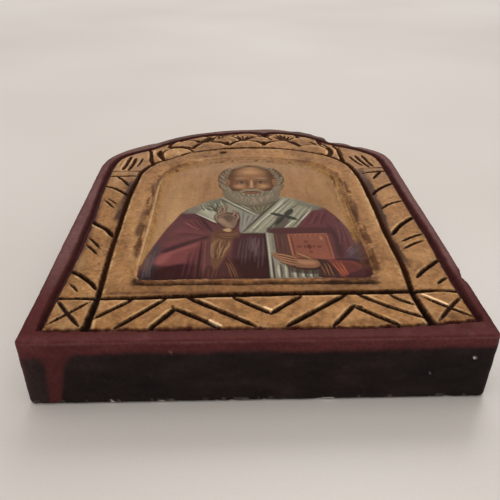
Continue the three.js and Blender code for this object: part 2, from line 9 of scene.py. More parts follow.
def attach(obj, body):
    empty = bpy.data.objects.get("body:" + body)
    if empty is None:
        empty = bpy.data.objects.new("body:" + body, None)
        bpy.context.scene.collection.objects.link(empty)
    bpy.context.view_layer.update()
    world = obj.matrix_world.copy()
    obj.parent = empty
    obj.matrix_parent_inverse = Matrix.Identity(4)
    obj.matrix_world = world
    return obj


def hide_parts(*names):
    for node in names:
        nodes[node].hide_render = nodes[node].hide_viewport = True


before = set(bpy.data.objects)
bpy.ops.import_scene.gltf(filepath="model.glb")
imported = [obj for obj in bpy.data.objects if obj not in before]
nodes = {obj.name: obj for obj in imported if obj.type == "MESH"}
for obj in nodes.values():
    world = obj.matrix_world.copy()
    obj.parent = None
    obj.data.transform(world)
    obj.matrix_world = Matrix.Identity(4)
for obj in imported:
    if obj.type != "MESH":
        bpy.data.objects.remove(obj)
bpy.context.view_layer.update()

# Plan sizes are millimetres: x from the middle of the board, y up from its foot edge, z from its
# back. The row frame has its zero half way up the board.
MM = 0.001
BOARD_HEIGHT = 190.0
THICKNESS = 26.0
FIELD = 25.3
ARRIS = 1.4
SHEET_TOP = 23.0
SHEET_THICKNESS = 0.5
SHEET_STEPS = (0.31, 0.38)
SHEET_INSET = 0.8
GROOVE = 1.05
HALF_WIDTH = 75.0
RIM_DROP = 0.04
OUTLINE_STEP = 0.62
FACE_STEP = 0.38
BACK_STEP = 1.8
ARRIS_ROWS = 5
WALL_ROWS = 27


def row(x, y, z):
    return np.stack([x, y - BOARD_HEIGHT / 2, z], -1) * MM


# Number tools

def lattice(*cells):
    """A repeatable number from 0 to 1 for every whole-numbered cell."""
    n = np.zeros(np.shape(cells[0]), np.uint64)
    for cell, step in zip(cells, (374761393, 668265263, 2147483647, 1274126177)):
        n = n + np.asarray(cell).astype(np.int64).astype(np.uint64) * np.uint64(step)
    n = (n ^ (n >> np.uint64(13))) * np.uint64(1274126177)
    n = n & np.uint64(0xFFFFFFFF)
    n = (n ^ (n >> np.uint64(16))) * np.uint64(2246822519) & np.uint64(0xFFFFFFFF)
    return ((n ^ (n >> np.uint64(13))) & np.uint64(0xFFFFFF)).astype(float) / 0xFFFFFF


def noise(coords, size, seed):
    """Smooth noise from -1 to 1 over two or three coordinates."""
    cells, parts = [], []
    sizes = size if isinstance(size, tuple) else (size,) * len(coords)
    for c, s in zip(coords, sizes):
        c = np.asarray(c, float) / s + 1000.0
        cell = np.floor(c)
        t = c - cell
        cells.append(cell.astype(np.int64))
        parts.append(t * t * (3 - 2 * t))
    total = 0.0
    for corner in range(2 ** len(coords)):
        weight = 1.0
        at = []
        for k, (cell, t) in enumerate(zip(cells, parts)):
            high = corner >> k & 1
            weight = weight * (t if high else 1 - t)
            at.append(cell + high)
        total = total + weight * lattice(*at, np.full(np.shape(at[0]), seed))
    return total * 2 - 1


def clouds(coords, size, seed, layers=3):
    total, weight, reach = 0.0, 1.0, 0.0
    for k in range(layers):
        step = tuple(s / 2 ** k for s in size) if isinstance(size, tuple) else size / 2 ** k
        total = total + weight * noise(coords, step, seed + 17 * k)
        reach += weight
        weight *= 0.55
    return total / reach


def ramp(low, high, value):
    t = unit((value - low) / (high - low))
    return t * t * (3 - 2 * t)


def unit(value):
    return np.clip(value, 0, 1)


def bell(value, width):
    return np.exp(-(value / width) ** 2)


def spot(x, y, cx, cy, wide, high):
    """A soft round spot."""
    return np.exp(-((x - cx) / wide) ** 2 - ((y - cy) / high) ** 2)


def ripple(along, size, seed, line=0):
    """Noise along one of many lines."""
    return noise((along, along * 0 + line), size, seed)


def colour(r, g, b):
    """A colour written as screen values, turned into light values."""
    c = np.array([r, g, b], float) / 255
    return np.where(c <= 0.04045, c / 12.92, ((c + 0.055) / 1.055) ** 2.4)


def plain(shade, count):
    return np.tile(colour(*shade), (count, 1))


def lay(base, over, mask):
    """Over painted on base where mask is 1. Over is a colour in screen values, or light values of
    every point."""
    if isinstance(over, tuple):
        over = colour(*over)
    return base + (over - base) * unit(mask)[:, None]


# Lines in the plan

def spaced(line, step, closed=False):
    line = np.asarray(line, float)
    if closed:
        line = np.vstack([line, line[:1]])
    length = np.concatenate([[0], np.cumsum(np.hypot(*np.diff(line[:, :2], axis=0).T))])
    count = max(2, int(round(length[-1] / step)))
    at = np.linspace(0, length[-1], count + 1)
    if closed:
        at = at[:-1]
    return np.stack([np.interp(at, length, column) for column in line.T], -1)


def curve(points, step, closed=False):
    """A smooth line through the points, with a point at every step."""
    p = np.asarray(points, float)
    if closed:
        q = np.vstack([p[-1:], p, p[:2]])
    else:
        q = np.vstack([2 * p[:1] - p[1:2], p, 2 * p[-1:] - p[-2:-1]])
    t = np.linspace(0, 1, 12, endpoint=False)[:, None]
    parts = []
    for a, b, c, d in zip(q, q[1:], q[2:], q[3:]):
        swing = (2 * a - 5 * b + 4 * c - d) * t ** 2 + (3 * b - a - 3 * c + d) * t ** 3
        parts.append(0.5 * (2 * b + (c - a) * t + swing))
    if not closed:
        parts.append(p[-1:])
    return spaced(np.vstack(parts), step, closed)


def nearest(x, y, line, reach, closed=False):
    """Distance to a line, the place along it and its third column, for points within reach."""
    line = np.asarray(line, float)
    if closed:
        line = np.vstack([line, line[:1]])
    if line.shape[1] == 2:
        line = np.column_stack([line, np.ones(len(line))])
    steps = np.hypot(*np.diff(line[:, :2], axis=0).T)
    start = np.concatenate([[0], np.cumsum(steps)])
    d = np.full(len(x), float(reach))
    along = np.zeros(len(x))
    size = np.ones(len(x))
    side = np.ones(len(x))
    for first in range(0, len(line) - 1, 8):
        part = line[first:first + 9]
        low = part[:, :2].min(0) - reach
        high = part[:, :2].max(0) + reach
        near = np.flatnonzero((x > low[0]) & (x < high[0]) & (y > low[1]) & (y < high[1]))
        if not len(near):
            continue
        px, py = x[near], y[near]
        for k in range(len(part) - 1):
            (ax, ay, a_size), (bx, by, b_size) = part[k], part[k + 1]
            ux, uy = bx - ax, by - ay
            long = ux * ux + uy * uy
            if long < 1e-12:
                continue
            t = unit(((px - ax) * ux + (py - ay) * uy) / long)
            ex, ey = px - ax - t * ux, py - ay - t * uy
            e = np.hypot(ex, ey)
            won = e < d[near]
            hit = near[won]
            d[hit] = e[won]
            along[hit] = start[first + k] + t[won] * math.sqrt(long)
            size[hit] = a_size + t[won] * (b_size - a_size)
            side[hit] = np.sign(ux * ey[won] - uy * ex[won])
    return d, along, size, side


def inside(x, y, loop):
    loop = np.asarray(loop, float)[:, :2]
    odd = np.zeros(len(x), bool)
    low, high = loop.min(0), loop.max(0)
    box = np.flatnonzero((x > low[0]) & (x < high[0]) & (y > low[1]) & (y < high[1]))
    px, py = x[box], y[box]
    hit = np.zeros(len(box), bool)
    for (ax, ay), (bx, by) in zip(loop, np.roll(loop, -1, 0)):
        if ay == by:
            continue
        cross = ((ay > py) != (by > py)) & (px < (bx - ax) * (py - ay) / (by - ay) + ax)
        hit ^= cross
    odd[box] = hit
    return odd


def depth_in(x, y, loop, reach):
    """How far inside a closed line each point is, up to reach. Outside it is less than zero."""
    d = nearest(x, y, loop, reach, True)[0]
    return np.where(inside(x, y, loop), d, -d)


# Lines of the board, anticlockwise from the foot. Those of the carving and of the picture are
# written as the camera sees them on the plane of the rim's top.

FOOT_CORNER = 2.6
EYE = (-7.9, -130.3, 138.2)
SIGHT = 25.55


def corner_arc(cx, cy, radius, first):
    turn = np.radians(np.linspace(first, first + 90, 7))
    return np.column_stack([cx + radius * np.cos(turn), cy + radius * np.sin(turn)])


def seen(x, y, z):
    """Where a point at height z is seen on the plane of the rim's top."""
    share = (EYE[2] - THICKNESS) / (EYE[2] - z)
    return EYE[0] + (x - EYE[0]) * share, EYE[1] + (y - EYE[1]) * share


def brought_down(line, z):
    """A line written on that plane, brought down to height z."""
    share = (EYE[2] - THICKNESS) / (EYE[2] - z)
    plan = np.array(line, float)
    plan[:, :2] = np.array(EYE[:2]) + (plan[:, :2] - np.array(EYE[:2])) / share
    return plan


OUTLINE = spaced(np.vstack([corner_arc(-HALF_WIDTH + FOOT_CORNER, FOOT_CORNER, FOOT_CORNER, 180),
                            corner_arc(HALF_WIDTH - FOOT_CORNER, FOOT_CORNER, FOOT_CORNER, 270),
                            curve([(75, 4), (74.8, 28.6), (74.1, 30.2), (74.4, 31.6), (73.8, 33),
                                   (74.2, 35), (74.5, 37.4), (74.8, 41), (74.9, 70), (74.75, 100),
                                   (74.9, 136), (74.3, 144), (72.7, 150), (69.6, 154.4),
                                   (66, 157.6), (62.6, 160.1), (58.6, 161.3), (56.4, 164.2),
                                   (53.2, 166.4), (49.5, 167.2), (46.9, 167.5)], 0.6),
                            curve([(46.3, 168), (45.3, 170.5), (44.8, 173.8), (43.6, 175.6)], 0.6),
                            curve([(43, 176), (39.8, 178.4), (37.6, 181.2), (34.8, 182.9),
                                   (31, 185.5), (28, 185.9), (25.2, 186.4), (22.5, 187.7),
                                   (19.6, 188.7), (15.4, 189.7), (10.4, 189.8), (5, 189.3),
                                   (0, 189), (-5, 188.7), (-10, 188), (-15, 187), (-20, 185.4),
                                   (-25, 183.8), (-30, 182), (-35, 179.6), (-40, 176.5),
                                   (-45, 172.7), (-48.6, 169.4), (-51, 167.6), (-55, 165.6),
                                   (-60, 161.7), (-65, 157.4), (-69.6, 151.6), (-72.9, 145.6),
                                   (-74.3, 139), (-74.85, 132), (-74.8, 100), (-74.9, 60),
                                   (-74.8, 30), (-75, 4)], 0.6)]), OUTLINE_STEP, True)

FIELD_EDGE = spaced(np.vstack([curve([(-68.9, 6.2), (-50, 6.1), (-30, 6.0), (-10, 5.9), (10, 5.7),
                                      (27, 5.4), (44, 5.9), (60, 7.0), (70.6, 8.3)], 0.6),
                               curve([(70.8, 9), (70.2, 14), (69.6, 22), (69.4, 34), (69.4, 46),
                                      (69.6, 64), (69.1, 84), (68.9, 100), (68.8, 118), (68.8, 130),
                                      (68.4, 140.6), (66, 148.4), (60, 155.2), (53.3, 159.8),
                                      (48, 162.8), (44, 166.2), (39.4, 171.2), (32.6, 176.6),
                                      (24.9, 180.3), (17.2, 182.3), (13, 181.9), (10.4, 180.7),
                                      (7.6, 181.8), (3, 182.8), (-1, 182.8), (-7.5, 181.9),
                                      (-13, 180.2), (-19.5, 179.2), (-26, 177.1), (-33, 173.4),
                                      (-40.5, 168.6), (-46.2, 163.4), (-50.2, 159), (-53.4, 156.6),
                                      (-58.8, 153.3), (-64.7, 147.6), (-67.6, 141.2), (-68.6, 132),
                                      (-68.7, 116), (-68.4, 100), (-67.6, 84), (-67.4, 67),
                                      (-67.15, 55), (-67.2, 45), (-67.6, 35), (-68.1, 25),
                                      (-68.8, 7.2)], 0.6)]), 0.6, True)

PANEL_EDGE = curve([(-40, 34.5), (-20, 34.8), (0, 34.6), (20, 34.8), (39, 34.5), (42.6, 36.4),
                    (43.7, 41), (43.8, 60), (43.6, 80), (43.5, 112), (42.6, 123), (39.4, 132.4),
                    (33, 139), (24, 143.2), (12, 146.3), (0, 147.1), (-12, 146.3), (-24, 143),
                    (-33, 138.6), (-39.5, 131.8), (-42.7, 122.6), (-43.6, 112), (-43.5, 80),
                    (-43.8, 60), (-43.9, 41), (-43, 36.4)], 0.6, True)

# Dividing lines, with how strongly each place is cut in the third column
FRAME_LINE = curve([(-54.6, 6.9, 1.5), (-54.3, 15, 1.3), (-54, 24, 1), (-54.5, 38, 0.95),
                    (-54.9, 53, 0.9), (-55, 67, 0.9), (-55.2, 85, 0.95), (-55.1, 103, 1),
                    (-54.3, 117, 1), (-53.6, 126, 1), (-51.9, 131.6, 1), (-49, 137.4, 1.1),
                    (-45.4, 141.4, 0.6), (-40, 145.2, 0.25), (-36, 148.8, 0.2),
                    (-34.6, 150.2, 0.85), (-32.6, 152.2, 0.8), (-30.4, 153.2, 0.2),
                    (-25, 155.4, 0.3), (-20.6, 156.9, 0.4), (-17.6, 157.7, 0.9),
                    (-15.4, 158.3, 0.3), (-12.8, 158.9, 1), (-6, 159.9, 1.1), (0, 160.1, 0.9),
                    (7, 160, 1.05), (13, 159.4, 0.95), (17, 158.7, 0.75), (22, 157.4, 0.35),
                    (28, 155, 0.25), (32.6, 153.2, 0.3), (34.4, 152.5, 0.7), (36.4, 151.6, 0.4),
                    (38.6, 150.6, 0.8), (41, 148.8, 0.4), (42.8, 147.2, 0.9), (45.4, 144.6, 0.7),
                    (48, 141.4, 0.9), (50.5, 137.2, 1.1), (52.2, 131.8, 1.1), (53.2, 124, 1),
                    (53.9, 116, 0.9), (54.2, 98, 1), (54.1, 84, 0.95), (53.6, 66, 0.9),
                    (54, 48, 0.9), (54.1, 38, 0.95), (53.2, 25, 1), (53.7, 16, 1.15),
                    (54.9, 7, 1.4)], 0.6)
SILL_LINES = [[(-68, 23.2, 0.6), (-61, 22.9, 0.6), (-55, 22.8, 0.8), (-50, 22.9, 1), (-38, 23, 1.1),
               (-20, 23.8, 1.3), (0, 24.1, 1.4), (20, 24.4, 1.45), (40, 24.5, 1.3), (53, 24.7, 1.1),
               (57, 24.7, 0.95), (63, 24.9, 0.65), (69.5, 24.3, 0.8)]]
NECK_LINES = [[(-52.6, 156.6, 0.7), (-51.4, 153, 0.9), (-50.8, 148, 1), (-50.2, 143, 1.1),
               (-48.8, 138.6, 1.1)], [(47.4, 161.6, 0.75), (48.4, 157.4, 0.8), (48.9, 152.6, 0.9),
                                      (49, 146, 0.9), (49.3, 140.6, 1)],
              [(49.6, 158, 0.3), (50, 152, 0.3), (50.2, 147, 0.2)]]
# Straight cuts at the foot, slashes at the sides and gouge cuts in the shoulders. The last number
# of each row is how bold the cut is.
CHEVRONS = [[(-53, 12.2), (-47.2, 17.3), (-42, 22.2), 0.85], [(-45.4, 7.3), (-38, 14.8),
                (-31, 22.3), 0.95], [(-34.6, 6.6), (-31, 11.4), (-27.5, 16.6), 1],
            [(-28, 17), (-20.2, 12), (-12.8, 7), 1], [(-23.6, 22.8), (-12, 14.8), (-1.4, 7.2),
                1.05], [(-8.2, 22.4), (-2, 17.8), (4, 13.3), 0.95], [(3.8, 13.2), (9, 18),
                (14.6, 22.8), 0.9], [(9, 7.3), (19, 15), (29.6, 23), 1.1],
            [(23.4, 6.9), (27.4, 11.8), (31.8, 17.4), 0.9], [(31.4, 17), (37.5, 12), (44, 6.9),
                0.95], [(34, 23.4), (43, 16.6), (53.5, 10.2), 0.95], [(45, 23), (48, 20),
                (52, 17.2), 0.7], [(-67.3, 22.4), (-62, 15), (-57, 8.4), 0.72],
            [(-67.2, 9.4), (-62, 14.8), (-55.8, 21.4), 0.62], [(55.4, 21.9), (62, 16.2), (70, 9.8),
                0.6], [(57.4, 8.4), (63, 15), (69.6, 22), 0.6], [(-28.6, 18.4), (-28.2, 17.6),
                (-27.6, 16.4), 0.4], [(32.4, 17.2), (33.6, 16.6), (34.6, 15.8), 0.35]]
SLASHES = [[(-64.2, 122.6), (-61.2, 118.9), (-59, 115.4), (-57.5, 112), 0.8],
           [(-67.8, 112), (-63.5, 109.3), (-60, 106), (-56, 101.6), 1.05],
           [(-65.9, 97.5), (-62.8, 93), (-59.8, 88.6), 0.5], [(-64.8, 98.6), (-62.2, 96),
               (-59.4, 92.4), 0.38], [(-67.6, 77.9), (-64, 74), (-60, 70.3), (-57.6, 66.8),
                                      (-56.2, 64.4), 1.3], [(-65.7, 64), (-62.4, 59.6), (-59, 54.4),
               0.5], [(-65.7, 58.8), (-62.4, 54.6), (-59.2, 50.2), 0.5], [(-67, 40), (-63, 37.1),
               (-59.5, 33.6), (-57.5, 31.4), (-55.6, 28.4), 1.1], [(-65.6, 32.2), (-63.6, 29.8),
               (-61.2, 26.6), 0.5], [(65.4, 126), (62.5, 121.9), (60.2, 118), 0.9],
           [(68.4, 113), (63.5, 109), (60, 105.8), (57.4, 102.6), (56.2, 100.3), 1],
           [(68.4, 94.4), (64, 92.3), (60, 89.7), (57, 86.2), 0.72], [(67, 98.4), (64, 97.2),
               (61, 95.4), 0.14], [(69, 78.9), (64.6, 74.6), (60.6, 70.4), (57.6, 66), (56.1, 63.6),
                                   1.25], [(67.8, 63.7), (63.4, 61.4), (58.6, 58.2), 0.75],
           [(67.2, 58.7), (62.6, 56.2), (57.6, 52.4), 0.66], [(69, 45), (64.6, 40.6), (60.6, 37),
               (57.3, 33), 0.95], [(68.2, 33), (65.6, 31), (63.3, 28.6), 0.58]]
GOUGES = [[(-61.3, 147.6), (-61.9, 140), (-62.9, 131), 1.2], [(-58.5, 145.4), (-58.8, 138.4),
              (-60.1, 130.2), 1.1], [(-55, 145.6), (-55.2, 141), (-56.4, 134.4), 0.62],
          [(-64.6, 143), (-65.2, 139), (-65.4, 134), 0.15], [(53.5, 146.4), (55, 141), (57.9, 134),
              0.8], [(56.8, 147), (58.4, 140), (61, 132.2), 1.05], [(60.4, 148), (61.4, 141),
              (63.1, 133.2), 0.95], [(64, 143), (64.8, 140), (65.2, 137), 0.15]]
BANDS = [[(-68, 128.9, 0.4), (-62, 128.6, 0.4), (-54.5, 128.8, 0.5)],
         [(-68, 123, 0.4), (-61, 122.7, 0.45), (-55.6, 123, 0.45)], [(56.4, 129.8, 0.4),
             (62, 130.8, 0.45), (68.6, 131.6, 0.45)], [(56.2, 124.2, 0.35), (60, 125.2, 0.4),
             (69, 126.7, 0.45)], [(-68, 127.6, 0.1), (-61, 127.4, 0.12), (-56, 127.6, 0.1)],
         [(57, 128, 0.1), (62, 128.6, 0.1), (68, 129.6, 0.1)]]
# Scales: centre, radius, the arc from one angle down to the other in degrees, and how strongly the
# arc is shaded at its first and last ends
SCALES = [
    (-33.4, 163.2, 8.2, 168, 38, 0.7, 1.0), (-26.6, 170.2, 8.0, 150, 50, 0.4, 0.5),
    (-12.6, 169.6, 8.8, 168, 4, 0.7, 0.8), (-0.4, 173.4, 9.0, 150, 20, 0.5, 0.7),
    (6.6, 169.4, 7.4, 160, 20, 0.6, 0.6), (20.6, 172.6, 9.4, 160, 26, 0.5, 0.6),
    (32.0, 167.0, 9.0, 140, -24, 0.6, 0.9),
    (-36.9, 150.8, 8.6, 196, 32, 1.0, 1.0), (-19.6, 158.6, 9.8, 172, 36, 1.0, 0.9),
    (-0.2, 160.4, 9.9, 160, 20, 0.9, 0.9), (18.9, 160, 10, 156, 10, 0.9, 1.1),
    (34.2, 153.2, 9.8, 120, -34, 0.3, 1.2),
]
# Chips cut in the points between the scales, as short wide wedges
CHIPS = [[(-22, 168.6, 0.4), (-17.5, 168.9, 1.1), (-13.2, 167.4, 1.6), (-10.4, 164, 0.8)],
         [(-10.4, 164.6, 0.8), (-11, 168.4, 1.6)], [(-9.6, 164.4, 0.8), (-7.8, 167.4, 1.5),
             (-5, 169.6, 1.2), (-2.6, 170.2, 0.5)], [(3, 170.2, 0.5), (6, 169, 1.3),
             (8.4, 166.6, 1.6), (9.6, 163.8, 0.8)], [(9.5, 164.6, 0.8), (9.4, 168.4, 1.6)],
         [(9.8, 164.2, 0.8), (12, 167.4, 1.5), (15.5, 169.4, 1.1), (19.5, 170.2, 0.8)],
         [(22, 169.4, 0.6), (25, 166.8, 1.5), (27.4, 163.6, 1.5), (28.4, 161, 0.6)],
         [(-29.6, 158.8, 0.8), (-28.2, 162.6, 1.7), (-25.6, 166, 0.7)], [(10.3, 175.4, 0.4),
             (10.3, 178.4, 2.2), (10.4, 181, 5)], [(-31.6, 171.4, 0.6), (-28, 170.4, 1.5),
             (-24, 168.4, 1.5), (-22.4, 168, 0.8)], [(-24.4, 168.4, 1.4), (-22.6, 171.6, 5),
             (-20.6, 175.4, 2)], [(-42.2, 167, 0.3), (-42.4, 163, 1), (-41.8, 159.8, 1.2)],
         [(-43, 160.2, 0.7), (-38.6, 161, 1.5), (-33.6, 160.7, 1.6), (-29.8, 159.2, 0.9)],
         [(-46.8, 156.2, 0.4), (-46.8, 151.4, 2.6), (-45.2, 146.6, 2), (-43.5, 142.4, 0.6)],
         [(41.8, 164.6, 0.3), (44, 160, 0.9), (45, 155, 1.1), (44.6, 150.6, 1.1), (43, 147.2, 0.9)],
         [(39.2, 171.4, 0.5), (40, 167.6, 1.1), (40, 163.6, 0.4)], [(35, 167.4, 0.3),
             (36.4, 166, 0.7), (37.6, 163.6, 0.3)], [(28.6, 176.4, 0.7), (28.9, 174.6, 1.2)],
         [(44, 146.2, 0.5), (46.2, 144, 0.8), (47.8, 141.8, 0.5)], [(-37.4, 171, 0.5),
             (-35.6, 171.4, 0.8), (-36.8, 169.4, 0.4)],
         [(-16.8, 177.6, 0.9), (-19, 174.6, 1.1), (-19.6, 170.4, 0.8)]]
# Fans of gouge cuts, from the foot of each fan to its tips
FANS = [[(-1.4, 170.2), [(-8.8, 178.2, 2.6), (-5.6, 178.4, 1.6), (-2.6, 178, 1.1),
                         (0.8, 177.6, 1.5), (3.6, 178, 1.8), (6, 177, 0.9)]],
        [(20.8, 169.6), [(15.4, 176.6, 1.6), (17, 179, 1.7), (19.2, 179.8, 2), (21.8, 178.6, 1.7),
                         (24.4, 176, 1.9), (26.6, 173.6, 1.1)]],
        [(-16, 174), [(-15.4, 178, 1.4), (-13, 178.4, 1.2), (-11.2, 177.8, 0.9)]]]
# Smears and stains in the gilding: centre, size and strength
STAINS = [(44.2, 43.8, 1.6, 4.8, 2.4), (40.6, 33.2, 3.4, 1.4, 0.8), (-46.3, 71, 1.4, 7, 1.6),
          (-46.6, 86, 1, 8, 0.8), (44.8, 88, 0.9, 14, 1.1), (33, 143, 7, 3.4, 0.5),
          (38, 138, 4, 5, 0.5), (-45, 52, 1.5, 4.2, 1.0), (-44.4, 57, 1.2, 3, 0.6),
          (-46, 44, 1.8, 5, 0.4), (43.8, 43.5, 3, 6, 1.1), (47, 47, 3, 4, 0.5),
          (-21, 147.6, 9, 2.2, 0.55), (-13, 146, 3, 3, 0.4), (-38, 136, 3.4, 5, 0.4),
          (47.4, 120, 2, 14, 0.3), (48.6, 90, 2, 20, 0.3), (-45.4, 84, 1.5, 14, 0.75),
          (-46, 70, 1.6, 6, 0.6), (-44.2, 96, 1.3, 9, 0.5), (-58, 118, 1.8, 8, 0.5),
          (-57.6, 90, 1.8, 16, 0.6), (-57.4, 62, 1.6, 9, 0.4), (56.6, 118, 2.2, 12, 0.6),
          (57, 82, 2.4, 16, 0.6), (56.8, 50, 2.2, 14, 0.6), (60, 66, 3, 4, 0.3),
          (-62, 20, 5, 3, 0.3), (-64, 64, 3, 4, 0.25), (62, 10.6, 7, 1.8, 0.5),
          (36, 8.6, 9, 1.6, 0.5), (-58, 8, 7, 1.5, 0.5), (-20, 7.6, 12, 1.2, 0.5),
          (10, 7.6, 9, 1.3, 0.5), (-10, 27.4, 20, 1.4, 0.3), (28, 27.6, 16, 2, 0.45),
          (-36, 27.6, 9, 1.6, 0.35), (8, 152.6, 9, 2.6, 0.15), (-62, 71.5, 4, 3.4, 0.3),
          (62, 86, 4, 5, 0.25), (50, 146, 3, 5, 0.3), (-20, 20, 5, 2, 0.25), (20, 155, 5, 2, 0.25),
          (-38, 148.2, 3, 1.4, 0.55), (34, 30.6, 9, 1.6, 0.7), (20, 13, 3, 3, 0.35),
          (27, 19, 5, 2, 0.3), (-8, 12, 3, 3, 0.2), (44.4, 64, 1.2, 5, 0.8),
          (43.6, 90, 1.3, 16, 0.5), (-50, 60, 3, 3, 0.3), (-49, 48, 4, 3, 0.35),
          (-51, 33, 3, 5, 0.35), (49, 56, 3, 8, 0.25), (-2.6, 154.4, 0.7, 1, 0.6),
          (36.6, 165, 3, 3, 0.45), (-25, 160.6, 3, 1.6, 0.4), (-13.6, 174, 4, 2, 0.4),
          (6, 173, 3, 2, 0.3)]
# Bright places in the gilding, partly paler leaf and partly painted highlights on lit edges:
# centre, size and strength
LIGHTS = [(-66, 18.4, 6, 4, 0.5), (-61, 9, 5, 2.6, 0.5), (-37, 153.5, 6, 4.5, 0.9),
          (-62, 143, 6, 9, 0.6), (-36, 166, 4, 4, 0.5), (34, 174, 5, 4, 0.6), (25, 179, 5, 2, 0.5),
          (-26, 175, 6, 2, 0.6), (51.6, 95, 1.4, 40, 0.4), (46.5, 155, 2, 6, 0.7),
          (-49.6, 152, 1.2, 8, 0.7), (-64, 116, 3, 6, 0.4), (-64.5, 45, 3, 6, 0.5),
          (63, 47, 5, 4, 0.4), (62, 100, 5, 7, 0.35), (-47, 156, 3, 5, 0.4)]
# Painted glints, where the leaf at a cut's edge catches the light: both ends and half the width
GLINTS = [
    (-15.9, 10.6, -12.4, 7.9, 0.3), (1.8, 17.0, 4.3, 15.3, 0.2), (56.4, 22.9, 62.8, 17.2, 0.3),
    (47.2, 160, 48, 154, 0.14), (-49.8, 156, -50.2, 151, 0.12),
]


def knife(points, half, deep, bold):
    """A knife cut. A bold one keeps its width nearly to its ends, and a fine one starts thin."""
    line = spaced(np.array(points, float), 0.5) if len(points) == 2 else curve(points, 0.5)
    share = np.linspace(0, 1, len(line))
    blunt = ramp(0.5, 0.9, bold)
    reach = 0.28 - 0.16 * blunt
    thin = 0.25 + 0.25 * blunt
    size = bold * (thin + (1 - thin) * ramp(0, reach, np.minimum(share, 1 - share)))
    return np.column_stack([line, size]), half, deep


def all_cuts():
    cuts = []
    for line in SILL_LINES:
        cuts.append((curve(line, 0.6), 0.95, 2.4))
    cuts.append((FRAME_LINE, 1.05, 2.8))
    for line in NECK_LINES:
        cuts.append((curve(line, 0.5), 0.95, 2.3))
    for points in CHEVRONS:
        cuts.append(knife(points[-2::-1], 0.85, 2.2, points[-1]))
    for group, half in ((SLASHES, 0.8), (GOUGES, 0.85)):
        for points in group:
            cuts.append(knife(points[:-1], half, 1.9, points[-1]))
    for line in BANDS:
        cuts.append((curve(line, 0.5), 0.9, 1.5))
    for cx, cy, radius, first, last, start, end in SCALES:
        turn = np.radians(np.linspace(first, last, 26))
        share = np.linspace(0, 1, 26)
        size = (start + (end - start) * share) * (0.75 + 0.35 * np.abs(2 * share - 1))
        line = np.column_stack([cx + radius * np.cos(turn), cy + radius * np.sin(turn), size])
        cuts.append((line, 0.85, 1.3))
    for line in CHIPS:
        cuts.append((curve(line, 0.4), 0.95, 1.7))
    for foot, tips in FANS:
        for tx, ty, size in tips:
            middle = ((foot[0] + tx) / 2, (foot[1] + ty) / 2, size)
            cuts.append((curve([(*foot, 0.7 * size), middle, (tx, ty, 0.35)], 0.4), 0.62, 1.0))
    return cuts


CUTS = all_cuts()


def sheet_height(depth):
    """Top of the glued sheet. Its outer border is pressed up against the panel's soft slope."""
    return SHEET_TOP + 1.35 * (1 - ramp(SHEET_INSET, 3.7, depth))


def cut_marks(x, y, rough_edge):
    """How deep all the cuts go, the dark and dirty places that they leave, and the painted
    highlights beside them.
    """
    sunk, dark, crest_highlight, dirt = (np.zeros(len(x)) for _ in range(4))
    for k, (line, half, deep) in enumerate(CUTS):
        reach = half * 4.2
        d, along, size, side = nearest(x, y, line, reach)
        near = d < reach
        if not near.any():
            continue
        d, along, size, side = d[near], along[near], size[near], side[near]
        wobble = 1 + 0.12 * ripple(along, 4.0, 40 + k, k)
        u = d / (half * np.maximum(size, 0.05) ** 0.6 * wobble)
        deeper = deep * np.minimum(size, 1.2) * (1 + 0.14 * ripple(along, 6.0, 90 + k, k))
        shape = 0.94 * unit(1 - u) + 0.06 * np.exp(-2.2 * np.clip(u - 1, 0, 9)) * (u < 3)
        sunk[near] = np.maximum(sunk[near], deeper * shape)
        mark = ramp(1.2, 0.84, u + 0.22 * rough_edge[near]) * unit(0.4 + size * 1.6)
        dark[near] = np.maximum(dark[near], mark)
        soiled = bell(u - 0.9, 0.8) * unit(size) * (0.55 + 0.5 * rough_edge[near])
        dirt[near] = np.maximum(dirt[near], soiled)
        # Painted highlight: a light line just beside the cut's edge.
        shine = bell(u - 1.6, 0.4) * unit(0.3 + size) * (0.6 - 0.4 * side)
        crest_highlight[near] = np.maximum(crest_highlight[near], shine)
    return sunk, dark, crest_highlight, dirt


def scale_relief(x, y, field, crest_highlight):
    """The scales at the crown: their relief, painted shade in the hollows below their arcs, painted
    light and shade over the swell inside them, and painted highlights along their arcs.
    """
    hollow_shade = np.zeros(len(x))
    swell_shading = np.zeros(len(x))
    for cx, cy, radius, first, last, start, end in SCALES:
        r = np.hypot(x - cx, y - cy)
        turn = (np.degrees(np.arctan2(y - cy, x - cx)) - last) % 360
        span = (first - last) % 360
        strong = end + (start - end) * unit(turn / span)
        arc = ramp(-10, 10, turn) * ramp(span + 10, span - 10, turn) * (turn < span + 20) * strong
        within = radius - r
        crown = np.where(within > 0, np.exp(-within / 2.4), 0) * (within < 8)
        fall = np.where(within < 0, np.exp(within / 1.9), 0) * (within > -7)
        field = field + arc * (0.26 * crown - 0.12 * fall)
        hollow_shade = np.maximum(hollow_shade * (within < 0), arc * fall)
        # Painted highlight just inside each arc.
        crest_highlight = np.maximum(crest_highlight, 0.9 * arc * bell(within - 1.3, 0.6))
        lobe = ((within > 0) * ramp(-30, 10, (turn + 180) % 360 - 180)
                * ramp(span + 30, span - 10, turn))
        swell_shading = swell_shading * (1 - lobe) + lobe * (np.exp(-within / 2.2) - 0.35)
    return field, crest_highlight, hollow_shade, swell_shading


